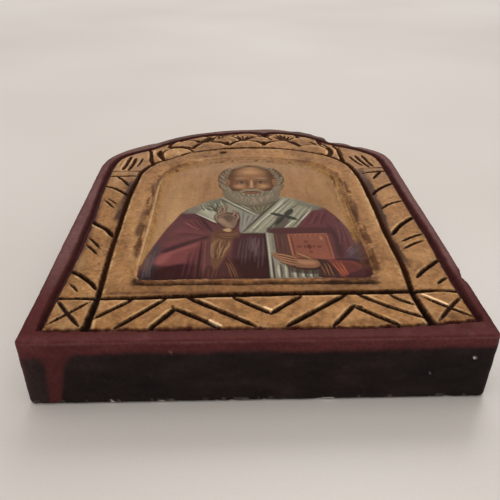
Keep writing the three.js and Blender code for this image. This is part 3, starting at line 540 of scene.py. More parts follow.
def painted_face(x, y):
    """Height of the carved face, and what its paint needs to know at each point."""
    panel = depth_in(x, y, PANEL_EDGE, 12.0)
    x, y = seen(x, y, SIGHT)
    edge = depth_in(x, y, FIELD_EDGE, 9.0)
    frame_gap, _, _, frame_side = nearest(x, y, FRAME_LINE, 7.0)
    rough_edge = noise((x, y), 0.9, 7) + 0.6 * noise((x, y), 0.45, 9)
    sunk, dark, crest_highlight, dirt = cut_marks(x, y, rough_edge)

    border = np.minimum(np.minimum(np.abs(edge), frame_gap), np.abs(panel))
    pillow = (0.42 * (1 - np.exp(-border / 2.2)) - 0.2) * (0.35 + 0.65 * ramp(22, 30, y))
    field = FIELD + pillow + 0.10 * clouds((x, y), 16.0, 3, 2) + 0.07 * clouds((x, y), 2.4, 5, 3)
    field, crest_highlight, hollow_shade, swell_shading = scale_relief(x, y, field, crest_highlight)
    for bx, by, reach_x, reach_y, lift in ((-61.5, 125.8, 6.6, 2.3, 0.5),
                                           (62.4, 128, 6.4, 2.1, 0.5)):
        field = field + lift * np.exp(-((x - bx) / reach_x) ** 4 - ((y - by) / reach_y) ** 4)
    surface = field - sunk

    # The panel's slope goes down to the sheet. Past the sheet's edge the board lies just under it.
    down = ramp(-1.6, SHEET_INSET, panel + 0.25 * noise((x, y), 3.0, 15))
    lip = sheet_height(np.full(len(x), SHEET_INSET)) + 0.12
    slope = surface + (lip - surface) * down
    under = sheet_height(panel) - SHEET_THICKNESS - 0.06
    surface = np.where(panel > SHEET_INSET, under, slope)

    # A rough bead along the panel's foot, with a scratched line under it
    wave = 0.3 * ripple(x, 7.0, 23) + 0.14 * ripple(x, 2.0, 24)
    ends = ramp(45.4, 41.5, np.abs(x + 0.6))
    sill = np.abs(y - 30.3 - wave + 0.012 * x)
    line_size = (0.7 + 0.35 * ripple(x, 9.0, 25) + 0.4 * ramp(20, 30, x)) * ends
    surface = surface - 0.9 * unit(1 - sill / 0.9) * ends
    dark = np.maximum(dark, ramp(0.3 + line_size, 0.05 + 0.5 * line_size, sill + 0.14 * rough_edge)
                      * ends * 0.95)
    curl = nearest(x, y, curve([(-36, 30.4), (-40.4, 30.8), (-42.6, 32.6), (-43, 34.6)], 0.4),
                   2.0)[0]
    dark = np.maximum(dark, ramp(0.85, 0.4, curl + 0.3 * rough_edge) * 0.9)
    upper = np.abs(y - 34.1 - 1.4 * wave)
    dark = np.maximum(dark, ramp(0.6, 0.1, upper + 0.3 * rough_edge) * ends
                      * ramp(-0.1, 0.5, ripple(x, 6.0, 27)) * 0.8)
    bead = bell(y - 32.4 - 1.6 * wave, 1.05) * ends
    surface = surface + np.where(panel < SHEET_INSET,
                                 (0.45 + 0.35 * noise((x, y), (1.5, 0.9), 26)) * bead, 0)

    hole = np.hypot(x + 13.1, (y - 152.8) * 0.95) + 0.35 * noise((x, y), 0.9, 12)
    surface = surface - 1.5 * ramp(2.0, 0.6, hole)
    dark = np.maximum(dark, ramp(2.2, 1.5, hole))

    rim = THICKNESS - RIM_DROP + 0.10 * clouds((x, y), 12.0, 21, 2)
    ragged = ((0.34 * noise((x, y), 1.7, 33) + 0.24 * noise((x, y), 0.8, 35)) * ramp(13, 7, y)
              + 0.14 * noise((x, y), 2.2, 34))
    shift = edge + ragged
    arch = ramp(140, 160, y)
    wide = GROOVE * (1 + 0.22 * noise((x, y), 5.0, 36)) * (1 - 0.3 * arch)
    floor = FIELD - 2.3 + 0.9 * arch
    flat = 0.1 + 0.8 * ramp(10, 30, y) * (1 - arch)
    inner = floor + np.clip(shift, 0, 9) * (2.3 / wide)
    outer = floor + np.clip(-shift - flat, 0, 9) * (3.0 / wide)
    height = np.where(shift > 0, np.minimum(surface, inner), np.minimum(rim, outer))
    groove = (ramp(wide * 1.1, wide * 0.6, shift)
              * ramp(flat + wide * 1.15, flat + wide * 0.75, -shift))
    return {"height": height, "edge": shift, "panel": panel, "dark": dark * (shift > 0),
            "groove": groove, "crest_highlight": crest_highlight * (shift > 0), "frame_gap": frame_gap,
            "frame_side": frame_side, "dirt": dirt, "bead": bead, "hollow_shade": hollow_shade, "swell_shading": swell_shading,
            "sill": sill, "ends": ends}


# The board's mesh

def outline_normals(line):
    ahead = np.roll(line, -2, 0) - np.roll(line, 2, 0)
    out = np.stack([ahead[:, 1], -ahead[:, 0]], -1)
    return out / np.linalg.norm(out, axis=1)[:, None]


def mesh_object(name, points, faces):
    mesh = bpy.data.meshes.new(name)
    mesh.vertices.add(len(points))
    mesh.vertices.foreach_set("co", np.asarray(points, np.float32).ravel())
    counts = np.array([len(f) for f in faces], np.int32)
    mesh.loops.add(int(counts.sum()))
    mesh.polygons.add(len(faces))
    mesh.loops.foreach_set("vertex_index", np.concatenate([np.asarray(f, np.int32) for f in faces]))
    mesh.polygons.foreach_set("loop_start",
                              np.concatenate([[0], np.cumsum(counts)[:-1]]).astype(np.int32))
    mesh.update(calc_edges=True)
    mesh.validate()
    mesh.shade_smooth()
    thing = bpy.data.objects.new(name, mesh)
    bpy.context.scene.collection.objects.link(thing)
    return thing


# Rows stand this share of a step apart, as in triangles with equal sides.
ROW_SHARE = 0.87


def plate(loop, points, lines):
    """Triangles that fill a loop through extra points and along extra lines. The loop's own points
    come first."""
    verts = [Vector(p) for p in loop] + [Vector(p) for p in points]
    edges = []
    for line in lines:
        first = len(verts)
        verts += [Vector(p[:2]) for p in line]
        edges += [(first + k, first + k + 1) for k in range(len(line) - 1)]
    out, _, faces, origins, _, _ = delaunay_2d_cdt(verts, edges, [list(range(len(loop)))], 1, 1e-6)
    where = {}
    for k, made_of in enumerate(origins):
        for source in made_of:
            if source < len(loop):
                where[source] = k
    order = [where[k] for k in range(len(loop))]
    rest = np.ones(len(out), bool)
    rest[order] = False
    order = order + list(np.flatnonzero(rest))
    back = np.empty(len(out), int)
    back[order] = np.arange(len(out))
    xy = np.array([out[k] for k in order])
    return xy, back[np.array(faces)]


def scattered(step, seed):
    """Points over the board in rows with every other row shifted, each moved a little."""
    xs = np.arange(-HALF_WIDTH, HALF_WIDTH, step)
    ys = np.arange(0, BOARD_HEIGHT, step * ROW_SHARE)
    x, y = np.meshgrid(xs, ys)
    x = x + (np.arange(len(ys)) % 2)[:, None] * step / 2
    x, y = x.ravel(), y.ravel()
    cells = np.round(x / step * 2), np.round(y / step * 2)
    x = x + (lattice(*cells, np.full(len(x), seed)) - 0.5) * step * 0.3
    y = y + (lattice(*cells, np.full(len(x), seed + 1)) - 0.5) * step * 0.3
    return x, y


def face_points():
    fine = FACE_STEP
    crown = OUTLINE - outline_normals(OUTLINE) * ARRIS
    lines = [brought_down(np.vstack([FIELD_EDGE, FIELD_EDGE[:1]]), SIGHT)]
    for line, _, _ in CUTS:
        lines.append(brought_down(line, SIGHT)[:, :2])
    for ax, ay, bx, by, _ in GLINTS:
        lines.append(brought_down(spaced([(ax, ay), (bx, by)], 0.3), SIGHT)[:, :2])
    lines.append(np.vstack([PANEL_EDGE, PANEL_EDGE[:1]]))
    x, y = scattered(fine, 61)
    keep = depth_in(x, y, crown, 1.0) > 0.3
    x, y = x[keep], y[keep]
    panel = depth_in(x, y, PANEL_EDGE, 12.0)
    near_x, near_y = seen(x, y, SIGHT)
    gap = np.abs(depth_in(near_x, near_y, FIELD_EDGE, 9.0)) * 1.1
    for line, half, _ in CUTS:
        gap = np.minimum(gap,
                         nearest(near_x, near_y, line, half * 2.4 + 1.0)[0] / np.maximum(half, 0.7))
    gap = np.minimum(gap, np.abs(panel - 0.3))
    grid = np.stack([np.round(x / fine), np.round(y / (fine * ROW_SHARE))]).astype(int)
    half_kept = (grid[0] % 2 == 0) & (grid[1] % 2 == 0)
    busy = gap < 2.2
    under = panel > 5.0
    keep = (busy | half_kept) & ~(under & ~((grid[0] % 8 == 0) & (grid[1] % 8 == 0)))
    for line in lines:
        keep &= nearest(x, y, line, 0.3)[0] > fine * 0.42
    return crown, np.column_stack([x[keep], y[keep]]), lines


# Grooves of the battens: how high each lies, and the side that it runs in from
BATTENS = ((38.0, -1), (115.8, 1))
BATTEN_STOP = 16.0
BATTEN_TAPER = 1.5
OVERRUN = 1.0
# Seams of the three staves, and the pocket of the ring hanger
SEAM = 25.0
SEAM_EDGE = 0.35
POCKET_FOOT, POCKET_HEAD, POCKET_HALF, POCKET_CORNER = 141.0, 177.0, 9.5, 4.0
POCKET_DEPTH = 5.0
AXIS = 157.5
SCREWS = (AXIS - 4.8 - 6.3, AXIS - 4.8)
PILOT_RADIUS = 1.15
PILOT_DEPTH = 13.55


def dovetail(height, entry):
    """The cutter of one batten's groove, which runs in from an edge and narrows."""
    gap, back, flare, depth = 0.15, 6.5, 2.2, 8.0
    near, far = entry * (HALF_WIDTH + 3), -entry * (HALF_WIDTH - BATTEN_STOP + gap)
    points = []
    for x, narrow in ((near, -0.03), (far, BATTEN_TAPER)):
        for z in (-OVERRUN, depth):
            half = back - narrow + gap + flare * z / depth
            points += [(x, height - half, z), (x, height + half, z)]
    faces = [(0, 1, 3, 2), (4, 6, 7, 5), (0, 4, 5, 1), (2, 3, 7, 6), (0, 2, 6, 4), (1, 5, 7, 3)]
    if entry < 0:
        faces = [face[::-1] for face in faces]
    x, y, z = np.array(points).T
    return mesh_object("cutter", row(x, y, z), faces)


def prism(loop, low, high):
    """An upright solid through a loop."""
    n = len(loop)
    x, y = np.array(loop).T
    z = np.concatenate([np.full(n, low), np.full(n, high)])
    faces = [tuple(range(n))[::-1], tuple(range(n, 2 * n))]
    faces += [(k, (k + 1) % n, n + (k + 1) % n, n + k) for k in range(n)]
    return mesh_object("cutter", row(np.tile(x, 2), np.tile(y, 2), z), faces)


def cut_away(thing, cutters):
    for cutter in cutters:
        cut = thing.modifiers.new("cut", "BOOLEAN")
        cut.operation = "DIFFERENCE"
        cut.solver = "MANIFOLD"
        cut.object = cutter
    bpy.context.view_layer.update()
    shown = thing.evaluated_get(bpy.context.evaluated_depsgraph_get())
    made = bpy.data.meshes.new_from_object(shown)
    made.name = thing.data.name
    thing.modifiers.clear()
    old = thing.data
    thing.data = made
    bpy.data.meshes.remove(old)
    for cutter in cutters:
        mesh = cutter.data
        bpy.data.objects.remove(cutter)
        bpy.data.meshes.remove(mesh)


def circle(cx, cy, radius, sides):
    turn = np.linspace(0, 2 * np.pi, sides, endpoint=False)
    return np.column_stack([cx + radius * np.cos(turn), cy + radius * np.sin(turn)])


def board_mesh():
    crown, points, lines = face_points()
    xy, faces = plate(crown, points, lines)
    count = len(crown)
    x, y = xy.T
    height = np.minimum(painted_face(x, y)["height"], THICKNESS)
    turned = np.pi / 2 * np.arange(ARRIS_ROWS + 1) / ARRIS_ROWS
    height[:count] = THICKNESS
    cloud = [np.column_stack([x, y, height])]
    triangles = [faces]

    out = outline_normals(OUTLINE)
    along = np.arange(count) * OUTLINE_STEP
    levels = []
    for t in turned[1:]:
        levels.append((ARRIS * (1 - math.sin(t)), THICKNESS - ARRIS * (1 - math.cos(t))))
    for z in np.linspace(THICKNESS - ARRIS, ARRIS, WALL_ROWS)[1:-1]:
        levels.append((0.0, z))
    for t in turned[::-1]:
        levels.append((ARRIS * (1 - math.sin(t)), ARRIS * (1 - math.cos(t))))
    total = len(xy)
    previous = np.arange(count)
    ring = np.arange(count)
    for inset, z in levels:
        worn = 0.10 * clouds((along, along * 0 + z), (5.0, 3.0), 71, 2)
        worn = worn + 0.05 * ripple(along, (1.1, 1.6), 75, z)
        nick = ramp(0.55, 0.9, ripple(along, 2.6, 78)) * bell(z - 1.0, 0.9)
        deep = inset + 0.12 - worn + 0.55 * nick
        deep = np.where(inset >= ARRIS - 1e-6, ARRIS, np.maximum(deep, 0.0))
        px = OUTLINE[:, 0] - out[:, 0] * deep
        py = OUTLINE[:, 1] - out[:, 1] * deep
        cloud.append(np.column_stack([px, py, np.full(count, z)]))
        here = total + ring
        total += count
        after = np.roll(ring, -1)
        triangles.append(np.column_stack([previous, here, here[after]]))
        triangles.append(np.column_stack([previous, here[after], previous[after]]))
        previous = here
    back_x, back_y = scattered(BACK_STEP, 64)
    keep = (depth_in(back_x, back_y, crown, 2.0) > 1.0) & (np.abs(np.abs(back_x) - SEAM) > 0.8)
    seams = []
    for middle in (-SEAM, SEAM):
        for seam_x in (middle - SEAM_EDGE, middle, middle + SEAM_EDGE):
            seam = spaced([(seam_x, 0), (seam_x, BOARD_HEIGHT)], 2.0)
            seams.append(seam[depth_in(*seam.T, crown, 2.0) > 0.8])
    xy_back, faces_back = plate(crown, np.column_stack([back_x[keep], back_y[keep]]), seams)
    index = np.concatenate([previous, total + np.arange(len(xy_back) - count)])
    extra = xy_back[count:]
    cloud.append(np.column_stack([extra, np.zeros(len(extra))]))
    triangles.append(index[faces_back][:, ::-1])
    cloud = np.vstack(cloud)
    triangles = np.vstack(triangles)
    board = mesh_object("carved_board", row(*cloud.T), triangles)
    cutters = [dovetail(*batten) for batten in BATTENS]
    r = POCKET_CORNER
    side, foot, head = POCKET_HALF - r, POCKET_FOOT + r, POCKET_HEAD - r
    pocket = np.vstack([corner_arc(*corner) for corner in (
        (-side, foot, r, 180), (side, foot, r, 270), (side, head, r, 0), (-side, head, r, 90))])
    cutters.append(prism(pocket, -OVERRUN, POCKET_DEPTH))
    for y in SCREWS:
        cutters.append(prism(circle(0, y, PILOT_RADIUS, 20), POCKET_DEPTH - OVERRUN, PILOT_DEPTH))
    cut_away(board, cutters)
    return board


board = board_mesh()


# Paint of the board

GOLD = (159, 114, 70)
GOLD_DEEP = (98, 64, 34)
GOLD_PALE = (200, 158, 112)
PIT = (28, 13, 8)
MAROON = (84, 38, 37)
MAROON_DEEP = (64, 22, 22)
SOOT = (38, 29, 28)
GESSO = (214, 206, 196)
WOOD = (128, 96, 64)
WOOD_DARK = (88, 62, 40)


def gilding(fx, fy, face, tone, speck, streak, grit):
    """Colour of the worn leaf with its painted highlights and shade, and how soiled it is."""
    edge, panel = face["edge"], face["panel"]
    gold = lay(plain(GOLD, len(fx)), GOLD_DEEP,
               unit(0.26 + 0.7 * tone + 0.65 * speck + 0.4 * grit) * 0.72)
    gold = lay(gold, GOLD_PALE,
               unit(-0.1 - 0.8 * tone + 0.6 * speck + 0.4 * streak - 0.3 * grit) * 0.75)
    upright = ramp(58, 52, np.abs(fx)) * ramp(30, 36, fy)
    upright_foot = ramp(54, 50, np.abs(fx))
    gold = lay(gold, (104, 66, 34), unit(streak * 1.5 - 0.2) * 0.55 * (0.4 + 0.6 * upright))
    stain = np.zeros(len(fx))
    blotch = 0.8 + 0.55 * speck + 0.4 * noise((fx, fy), 4.0, 137)
    for sx, sy, reach_x, reach_y, strength in STAINS:
        fall = ((fx - sx) / reach_x) ** 2 + ((fy - sy) / reach_y) ** 2
        stain = np.maximum(stain, strength * np.exp(-fall) * blotch)
    gold = lay(gold, (76, 42, 14), unit(stain) * 0.88)
    gap = face["frame_gap"]
    outer_side = 0.6 + 0.4 * face["frame_side"]
    shade = np.exp(-gap / 1.7) * 0.7 * outer_side + np.exp(-np.abs(edge) / 1.3) * 0.5
    shade = shade * (0.7 + 0.6 * speck + 0.5 * noise((fx, fy), 0.8, 139))
    gold = lay(gold, (64, 33, 20), unit(shade) * 0.8)
    ragged = np.exp(-gap / 1.4) + 0.9 * np.exp(-np.abs(edge) / 1.3)
    ragged = ramp(0.42, 0.74, ragged + 0.22 * noise((fx, fy), 1.2, 143) + 0.18 * grit)
    gold = lay(gold, (62, 33, 26), ragged * 0.7)
    zone = np.where(fx > 0, ramp(30, 60, fy) * ramp(134, 122, fy),
                    bell(fy - 87, 9) + 0.6 * ramp(94, 102, fy) * ramp(126, 114, fy))
    scallop = gap + 0.9 * noise((fx, fy), (3.0, 6.0), 144) + 0.35 * grit - 0.5 * streak
    wider = 1.1 * ramp(70, 80, fy) * (fx > 0)
    lap = (ramp(3.1 + wider, 2.1 + wider, scallop) * (face["frame_side"] > 0) * (gap < 6)
           * ramp(0.1, 0.6, zone))
    gold = lay(gold, (60, 33, 20), lap * 0.97)
    soiled = (ramp(3.4, 1.2, edge + 0.6 * noise((fx, fy), (2.0, 5.0), 146) + 0.4 * grit)
              * ramp(-50, -60, fx) * ramp(36, 44, fy))
    gold = lay(gold, (84, 48, 40), soiled * ramp(100, 84, fy) * 0.9)
    gold = lay(gold, (58, 28, 18), unit(face["dirt"]) * 0.55)
    # Painted shade in the hollows below the scales' arcs.
    gold = lay(gold, (70, 36, 20), unit(face["hollow_shade"] * (0.8 + 0.5 * speck)) * 0.9)
    above = ramp(-2, 2, fy - 161 + 0.0105 * (fx * fx))
    # Painted light and shade over the swell of each scale: lighter at its arc, darker further in.
    gold = lay(gold, GOLD_PALE, unit(face["swell_shading"] * 1.2) * 0.7 * above)
    gold = lay(gold, GOLD_DEEP, unit(-face["swell_shading"] * 1.9) * 0.5 * above)
    # Paler leaf and painted highlights at the places listed in LIGHTS.
    bright = np.zeros(len(fx))
    for sx, sy, reach_x, reach_y, strength in LIGHTS:
        bright = np.maximum(bright, strength * spot(fx, fy, sx, sy, reach_x, reach_y))
    gold = lay(gold, (214, 172, 122), unit(bright * (0.8 + 0.5 * speck + 0.3 * streak)) * 0.6)
    # Painted highlight beside the cuts and along the scales' arcs.
    shine = face["crest_highlight"] * (0.6 + 0.8 * noise((fx, fy), 3.0, 141)) * (1 - lap) * (1 - 0.7 * ragged)
    gold = lay(gold, (220, 178, 128), unit(shine) * 0.7)
    smear = (bell(panel + 1.7 + 0.7 * noise((fx, fy), (2.0, 6.0), 145), 0.8) * ramp(34, 44, fy)
             * ramp(140, 112, fy))
    smear = ramp(0.15, 0.6, smear * (0.5 + 0.9 * noise((fx, fy), (1.6, 7.0), 147) + 0.35 * grit
                                     + 0.25 * speck))
    gold = lay(gold, (90, 52, 20), unit(smear) * 0.95)
    crack = bell(panel + 0.5 + 0.7 * noise((fx, fy), 5.0, 149), 0.7)
    strong = 0.35 + 0.8 * clouds((fx, fy), (4.0, 9.0), 151, 2) + 0.25 * ramp(38, 42, np.abs(fx))
    strong = strong * (1 - 0.85 * ramp(24, 8, np.abs(fx)) * ramp(100, 130, fy)) * ramp(34, 40, fy)
    gold = lay(gold, (72, 40, 16), unit(crack * strong) * 0.9)
    # Painted highlight along the left side of the panel's slope.
    bevel_highlight = bell(panel - 0.8, 0.8) * ramp(36, 50, fy) * ramp(130, 110, fy) * (fx < 0)
    gold = lay(gold, (212, 170, 124), unit(bevel_highlight * (0.8 + 0.4 * speck)) * 0.7)
    rough_bead = face["bead"] * (panel < SHEET_INSET)
    bead_tone = noise((fx, fy), (2.0, 0.7), 153)
    gold = lay(gold, (182, 134, 98), rough_bead * unit(0.3 + 0.9 * bead_tone) * 0.75)
    gold = lay(gold, (96, 54, 34), rough_bead * unit(-0.1 - 1.2 * bead_tone) * 0.9)
    gold = lay(gold, (104, 62, 42), rough_bead * (0.3 + 0.6 * ramp(10, 24, fx)))
    dirty_end = spot(fx, fy, 37, 31.6, 5, 2.2) + spot(fx, fy, -42, 33, 2.4, 3)
    gold = lay(gold, (46, 24, 18), unit(dirty_end * (0.8 + 0.6 * grit)) * 0.85)
    low = bell(face["sill"] - 1.0, 0.7) * face["ends"] * unit(0.4 + noise((fx, fy), 2.0, 155))
    gold = lay(gold, (70, 36, 22), low * 0.6)
    spots = ramp(0.7, 0.86, noise((fx, fy), 1.05, 161)) * ramp(0.0, 0.7, noise((fx, fy), 14.0, 163))
    gold = lay(gold, (62, 34, 24), spots * 0.75)
    pores = ramp(0.72, 0.9, noise((fx, fy), (0.6, 0.8), 165)) * (0.4 + 0.4 * tone)
    gold = lay(gold, (84, 50, 28), unit(pores) * 0.6)
    gold = lay(gold, GOLD_DEEP, 0.3 * ramp(23.5, 25, fy) * ramp(33, 29, fy) * upright_foot)
    grime = bell(fy - 25.6 - 0.4 * noise((fx, fy), (4.0, 2.0), 157), 0.8) * upright_foot
    gold = lay(gold, (82, 47, 27), unit(grime * (0.75 + 0.5 * speck - 0.006 * fx)) * 0.8)
    gold = lay(gold, (168, 134, 110),
               ramp(108, 128, fy) * ramp(50, 56, np.abs(fx)) * unit(0.6 + 0.5 * speck) * 0.4)
    # Painted light: the panel's slope under the crown made lighter against the shade that falls on
    # it.
    crown_slope_light = (np.exp(-((panel + 0.6) / 2.2) ** 4) * ramp(128, 140, fy)
                   * ramp(34, 20, np.abs(fx)))
    gold = lay(gold, (172, 136, 108), crown_slope_light * unit(0.5 + 0.7 * speck) * 0.5)
    return gold, np.maximum(stain, np.maximum(smear, ragged))


def rim_paint(fx, fy, edge, outer, speck):
    """Colour of the rim. Outer is the gap to the board's outline."""
    haze = clouds((fx, fy), 15.0, 171, 3)
    rim = lay(plain(MAROON, len(fx)), MAROON_DEEP, unit(0.35 + 0.6 * haze) * 0.55)
    rim = lay(rim, (116, 72, 68), ramp(0.1, 0.9, clouds((fx, fy), 5.0, 175, 2)) * 0.35)
    rim = lay(rim, (122, 94, 82),
              ramp(135, 165, fy) * unit(0.75 + 0.6 * clouds((fx, fy), 2.2, 177, 2)
                                        + 0.2 * ramp(-20, 0, fx)) * 0.85)
    rim = lay(rim, (82, 56, 48), ramp(162, 172, fy) * ramp(16, 30, np.abs(fx)) * 0.7)
    # Painted sheen: the rims at the sides made lighter.
    rim = lay(rim, (126, 90, 88), ramp(56, 66, np.abs(fx)) * ramp(10, 60, fy)
              * unit(0.7 + 0.5 * haze + 0.3 * speck) * 0.75)
    rim = lay(rim, (30, 17, 16), spot(fx, fy, 74, 33, 1.2, 2.6) * 0.9)
    rim = lay(rim, (34, 20, 16), spot(fx, fy, 43.6, 172, 1.5, 3.4) * 0.9)
    rim = lay(rim, (34, 20, 16), spot(fx, fy, 49, 167.6, 4, 0.9) * 0.7)
    rim = lay(rim, MAROON_DEEP, ramp(2.2, 0.6, outer) * 0.5 * ramp(2, 6, fy))
    rim = lay(rim, (100, 56, 54), ramp(4.2, 2.4, fy) * unit(0.7 + 0.5 * speck) * 0.35)
    rim = lay(rim, (134, 98, 92), ramp(58, 66, fx) * ramp(20, 60, fy) * 0.25)
    rim = lay(rim, MAROON_DEEP, np.exp(-np.abs(edge) / 1.6) * 0.6 * (1 - 0.5 * ramp(140, 165, fy)))
    return rim


def front_paint(x, y, outer):
    """Colour, roughness and share of leaf of the carved side."""
    face = painted_face(x, y)
    fx, fy = seen(x, y, SIGHT)
    edge, dark, gap = face["edge"], face["dark"], face["frame_gap"]
    tone = clouds((fx, fy), (9.0, 14.0), 121, 3)
    speck = clouds((fx, fy), 1.7, 131, 2)
    streak = clouds((fx, fy), (1.1, 11.0), 133, 2)
    grit = noise((fx, fy), 0.8, 135)
    gold, soiled = gilding(fx, fy, face, tone, speck, streak, grit)
    rim = rim_paint(fx, fy, edge, outer, speck)
    gilt = ramp(0.05, 0.7, edge + 0.25 * speck)
    surface = lay(rim, gold, gilt)
    trench = lay(plain((78, 40, 39), len(fx)), (56, 26, 26),
                 ramp(1.2, 0.2, np.abs(edge + 0.4)) * 0.8)
    surface = lay(surface, trench, unit(face["groove"]) * 0.92)
    pit = lay(plain(PIT, len(fx)), (66, 34, 18),
              unit(0.1 + 0.6 * speck + 0.6 * ramp(125, 150, fy)) * 0.7)
    umber = np.maximum(ramp(1.9, 1.5, gap), 0.75 * ramp(120, 140, fy)) * ramp(26, 34, fy)
    pit = lay(pit, (66, 34, 14), umber * unit(0.85 + 0.3 * speck))
    surface = lay(surface, pit, unit(dark) * 0.96)
    # Painted glints of light along the cut edges listed in GLINTS.
    glint = np.zeros(len(fx))
    for ax, ay, bx, by, width in GLINTS:
        d = nearest(fx, fy, spaced([(ax, ay), (bx, by)], 0.4), 1.2)[0]
        glint = np.maximum(glint, ramp(width + 0.26, width - 0.2, d))
    creep = (ramp(0.15, 0.5, noise((fx, fy), (3.2, 1.0), 185) - 0.5 * (edge - 0.9))
             * ramp(2.2, 0.9, edge) * ramp(12, 9, fy))
    surface = lay(surface, (70, 28, 26), creep * gilt * 0.85)
    surface = lay(surface, (252, 216, 170), glint * gilt)
    rough = 0.5 - 0.06 * tone + 0.14 * dark + 0.08 * (1 - gilt)
    leaf = gilt * (1 - unit(dark + face["groove"])) * (1 - unit(soiled))
    return surface, rough, leaf


def edge_paint(sx, sy, sz):
    """Colour and roughness of the edges: a maroon band that runs down into black, with painted
    highlights along the foot's top arris and at its left corner.
    """
    band = (THICKNESS - 4.5 + 0.9 * clouds((sx, sy), 14.0, 191, 2)
            + 0.5 * clouds((sx, sy, sz), 2.4, 193, 2))
    foot_face = ramp(4, 2, sy)
    run_width = 1.9 + 0.06 * sz + 2.6 * ramp(15, 23, sz) + 0.3 * ripple(sz, 4.0, 195)
    run = np.exp(-((sx + 66.3 - 0.15 * sz) / run_width) ** 6) * foot_face
    run = np.maximum(run, 0.5 * bell(sx + 74.4, 1.4) * ramp(6, 16, sz) * foot_face)
    band = band - 1.6 * ramp(-40, -64, sx) * foot_face
    band = band - (1 - foot_face) * (3 + 3 * noise((sx, sy), 30.0, 197))
    black_zone = ramp(1.3, -1.3, sz - band)
    black = black_zone * (1 - unit(run) * 0.9)
    smear = clouds((sx, sy, sz), (9.0, 9.0, 4.0), 201, 3)
    coat = lay(plain((98, 50, 51), len(sx)), (76, 35, 36), unit(0.5 + 0.8 * smear) * 0.6)
    coat = lay(coat, (80, 34, 34), unit(run) * black_zone * 0.4)
    black_and_corner_highlight = lay(plain(SOOT, len(sx)), (58, 46, 45), unit(smear * 1.3 - 0.05) * 0.6)
    black_and_corner_highlight = lay(black_and_corner_highlight, (26, 20, 20), unit(-smear * 1.6) * 0.7)
    # Painted highlight at the left corner of the foot.
    black_and_corner_highlight = lay(black_and_corner_highlight, (66, 50, 50), ramp(-64, -72, sx) * foot_face * 0.5)
    black_and_corner_highlight = lay(black_and_corner_highlight, (62, 50, 50),
               ramp(0.72, 0.95, noise((sx, sy, sz), (1.3, 1.3, 0.8), 203)) * 0.3)
    coat = lay(coat, black_and_corner_highlight, black)
    # Dust with a painted highlight along the foot's top arris.
    dust_and_highlight = bell(sz - 25.3, 0.28) * (0.55 + 0.45 * noise((sx, sy), 7.0, 207)) * foot_face
    coat = lay(coat, (122, 84, 80), unit(dust_and_highlight) * 0.5)
    scuff = ramp(0.45, 0.8, noise((sx, sy, sz), 1.3, 211)) * bell(sz - 0.6, 0.9)
    coat = lay(coat, (150, 138, 128), scuff * 0.6)
    chips = ((-47.5, 0.6, 0.9, 0.8, 1), (-32, 0.6, 1.3, 0.6, 0.9), (22.5, 0.6, 1.9, 0.7, 1),
             (3, 0.3, 0.8, 0.3, 0.5), (-61, 0.3, 0.9, 0.3, 0.5), (46, 0.3, 1.0, 0.25, 0.4),
             (60, 0.4, 0.7, 0.3, 0.5), (67.6, 17.6, 0.7, 0.34, 1), (70.6, 19.6, 0.34, 0.2, 0.7),
             (-72.5, 18.5, 0.26, 0.2, 0.6), (-68.6, 13.5, 0.22, 0.2, 0.5),
             (-68.1, 8, 0.2, 0.2, 0.5), (54.6, 11.4, 0.4, 0.3, 0.3), (-42.4, 15.4, 0.3, 0.2, 0.2))
    for cx, cz, wide, high, strength in chips:
        d = np.hypot((sx - cx) / wide, (sz - cz) / high) + 0.35 * noise((sx, sz), 0.5, 221)
        coat = lay(coat, GESSO, ramp(1.15, 0.75, d) * strength * foot_face)
    pink = np.hypot((sx + 27.6) / 0.7, (sz - 21.6) / 0.6)
    coat = lay(coat, (140, 82, 74), ramp(1.2, 0.6, pink) * 0.8 * foot_face)
    return coat, 0.55 + 0.1 * black + 0.1 * smear


def board_paint(points):
    """Colour, roughness, share of leaf and share of bare wood of every point of the board."""
    x, y, z = points.T
    n = len(x)
    rough = np.full(n, 0.75)
    leaf = np.zeros(n)
    wall = nearest(x, y, OUTLINE, 3.0, True)[0]

    grain = clouds((x, y, z), (6.0, 70.0, 6.0), 101, 2)
    paint = lay(plain(WOOD, n), WOOD_DARK, 0.42 + 0.5 * grain)
    paint = lay(paint, (150, 118, 84),
                ramp(0.25, 0.8, noise((x, y, z), (5.0, 90.0, 5.0), 109)) * 0.3)
    glue = bell(np.abs(x) - SEAM, 0.28) * (z < 1)
    paint = lay(paint, (54, 36, 24), 0.7 * glue)

    front = z > 19.5
    paint[front], rough[front], leaf[front] = front_paint(x[front], y[front], wall[front])
    side = (wall < 1.9) & (z < THICKNESS - 0.4)
    paint[side], rough[side] = edge_paint(x[side], y[side], z[side])
    leaf[side] = 0

    # Paint laps a few millimetres over the back's edges.
    back = (z < 0.5) & (wall > 0.5)
    rim_gap = nearest(x[back], y[back], OUTLINE, 7.0, True)[0]
    lap = ramp(4.2, 2.6, rim_gap + 1.4 * clouds((x[back], y[back]), 6.0, 231, 2))
    paint[back] = lay(paint[back], SOOT, lap * 0.9)
    bare = ((z < 19) & ~side).astype(float)
    bare[back] *= 1 - lap
    return paint, rough, leaf, bare


def add_values(mesh, name, values, kind="FLOAT"):
    if kind == "FLOAT":
        data = mesh.attributes.new(name, "FLOAT", "POINT")
        data.data.foreach_set("value", values.astype(np.float32))
        return
    data = mesh.color_attributes.new(name, "FLOAT_COLOR", "POINT")
    full = np.column_stack([unit(values), np.ones(len(values))])
    data.data.foreach_set("color", full.astype(np.float32).ravel())


def plan_points(mesh):
    co = np.empty(len(mesh.vertices) * 3, np.float32)
    mesh.vertices.foreach_get("co", co)
    co = co.reshape(-1, 3).astype(float) / MM
    co[:, 1] += BOARD_HEIGHT / 2
    return co


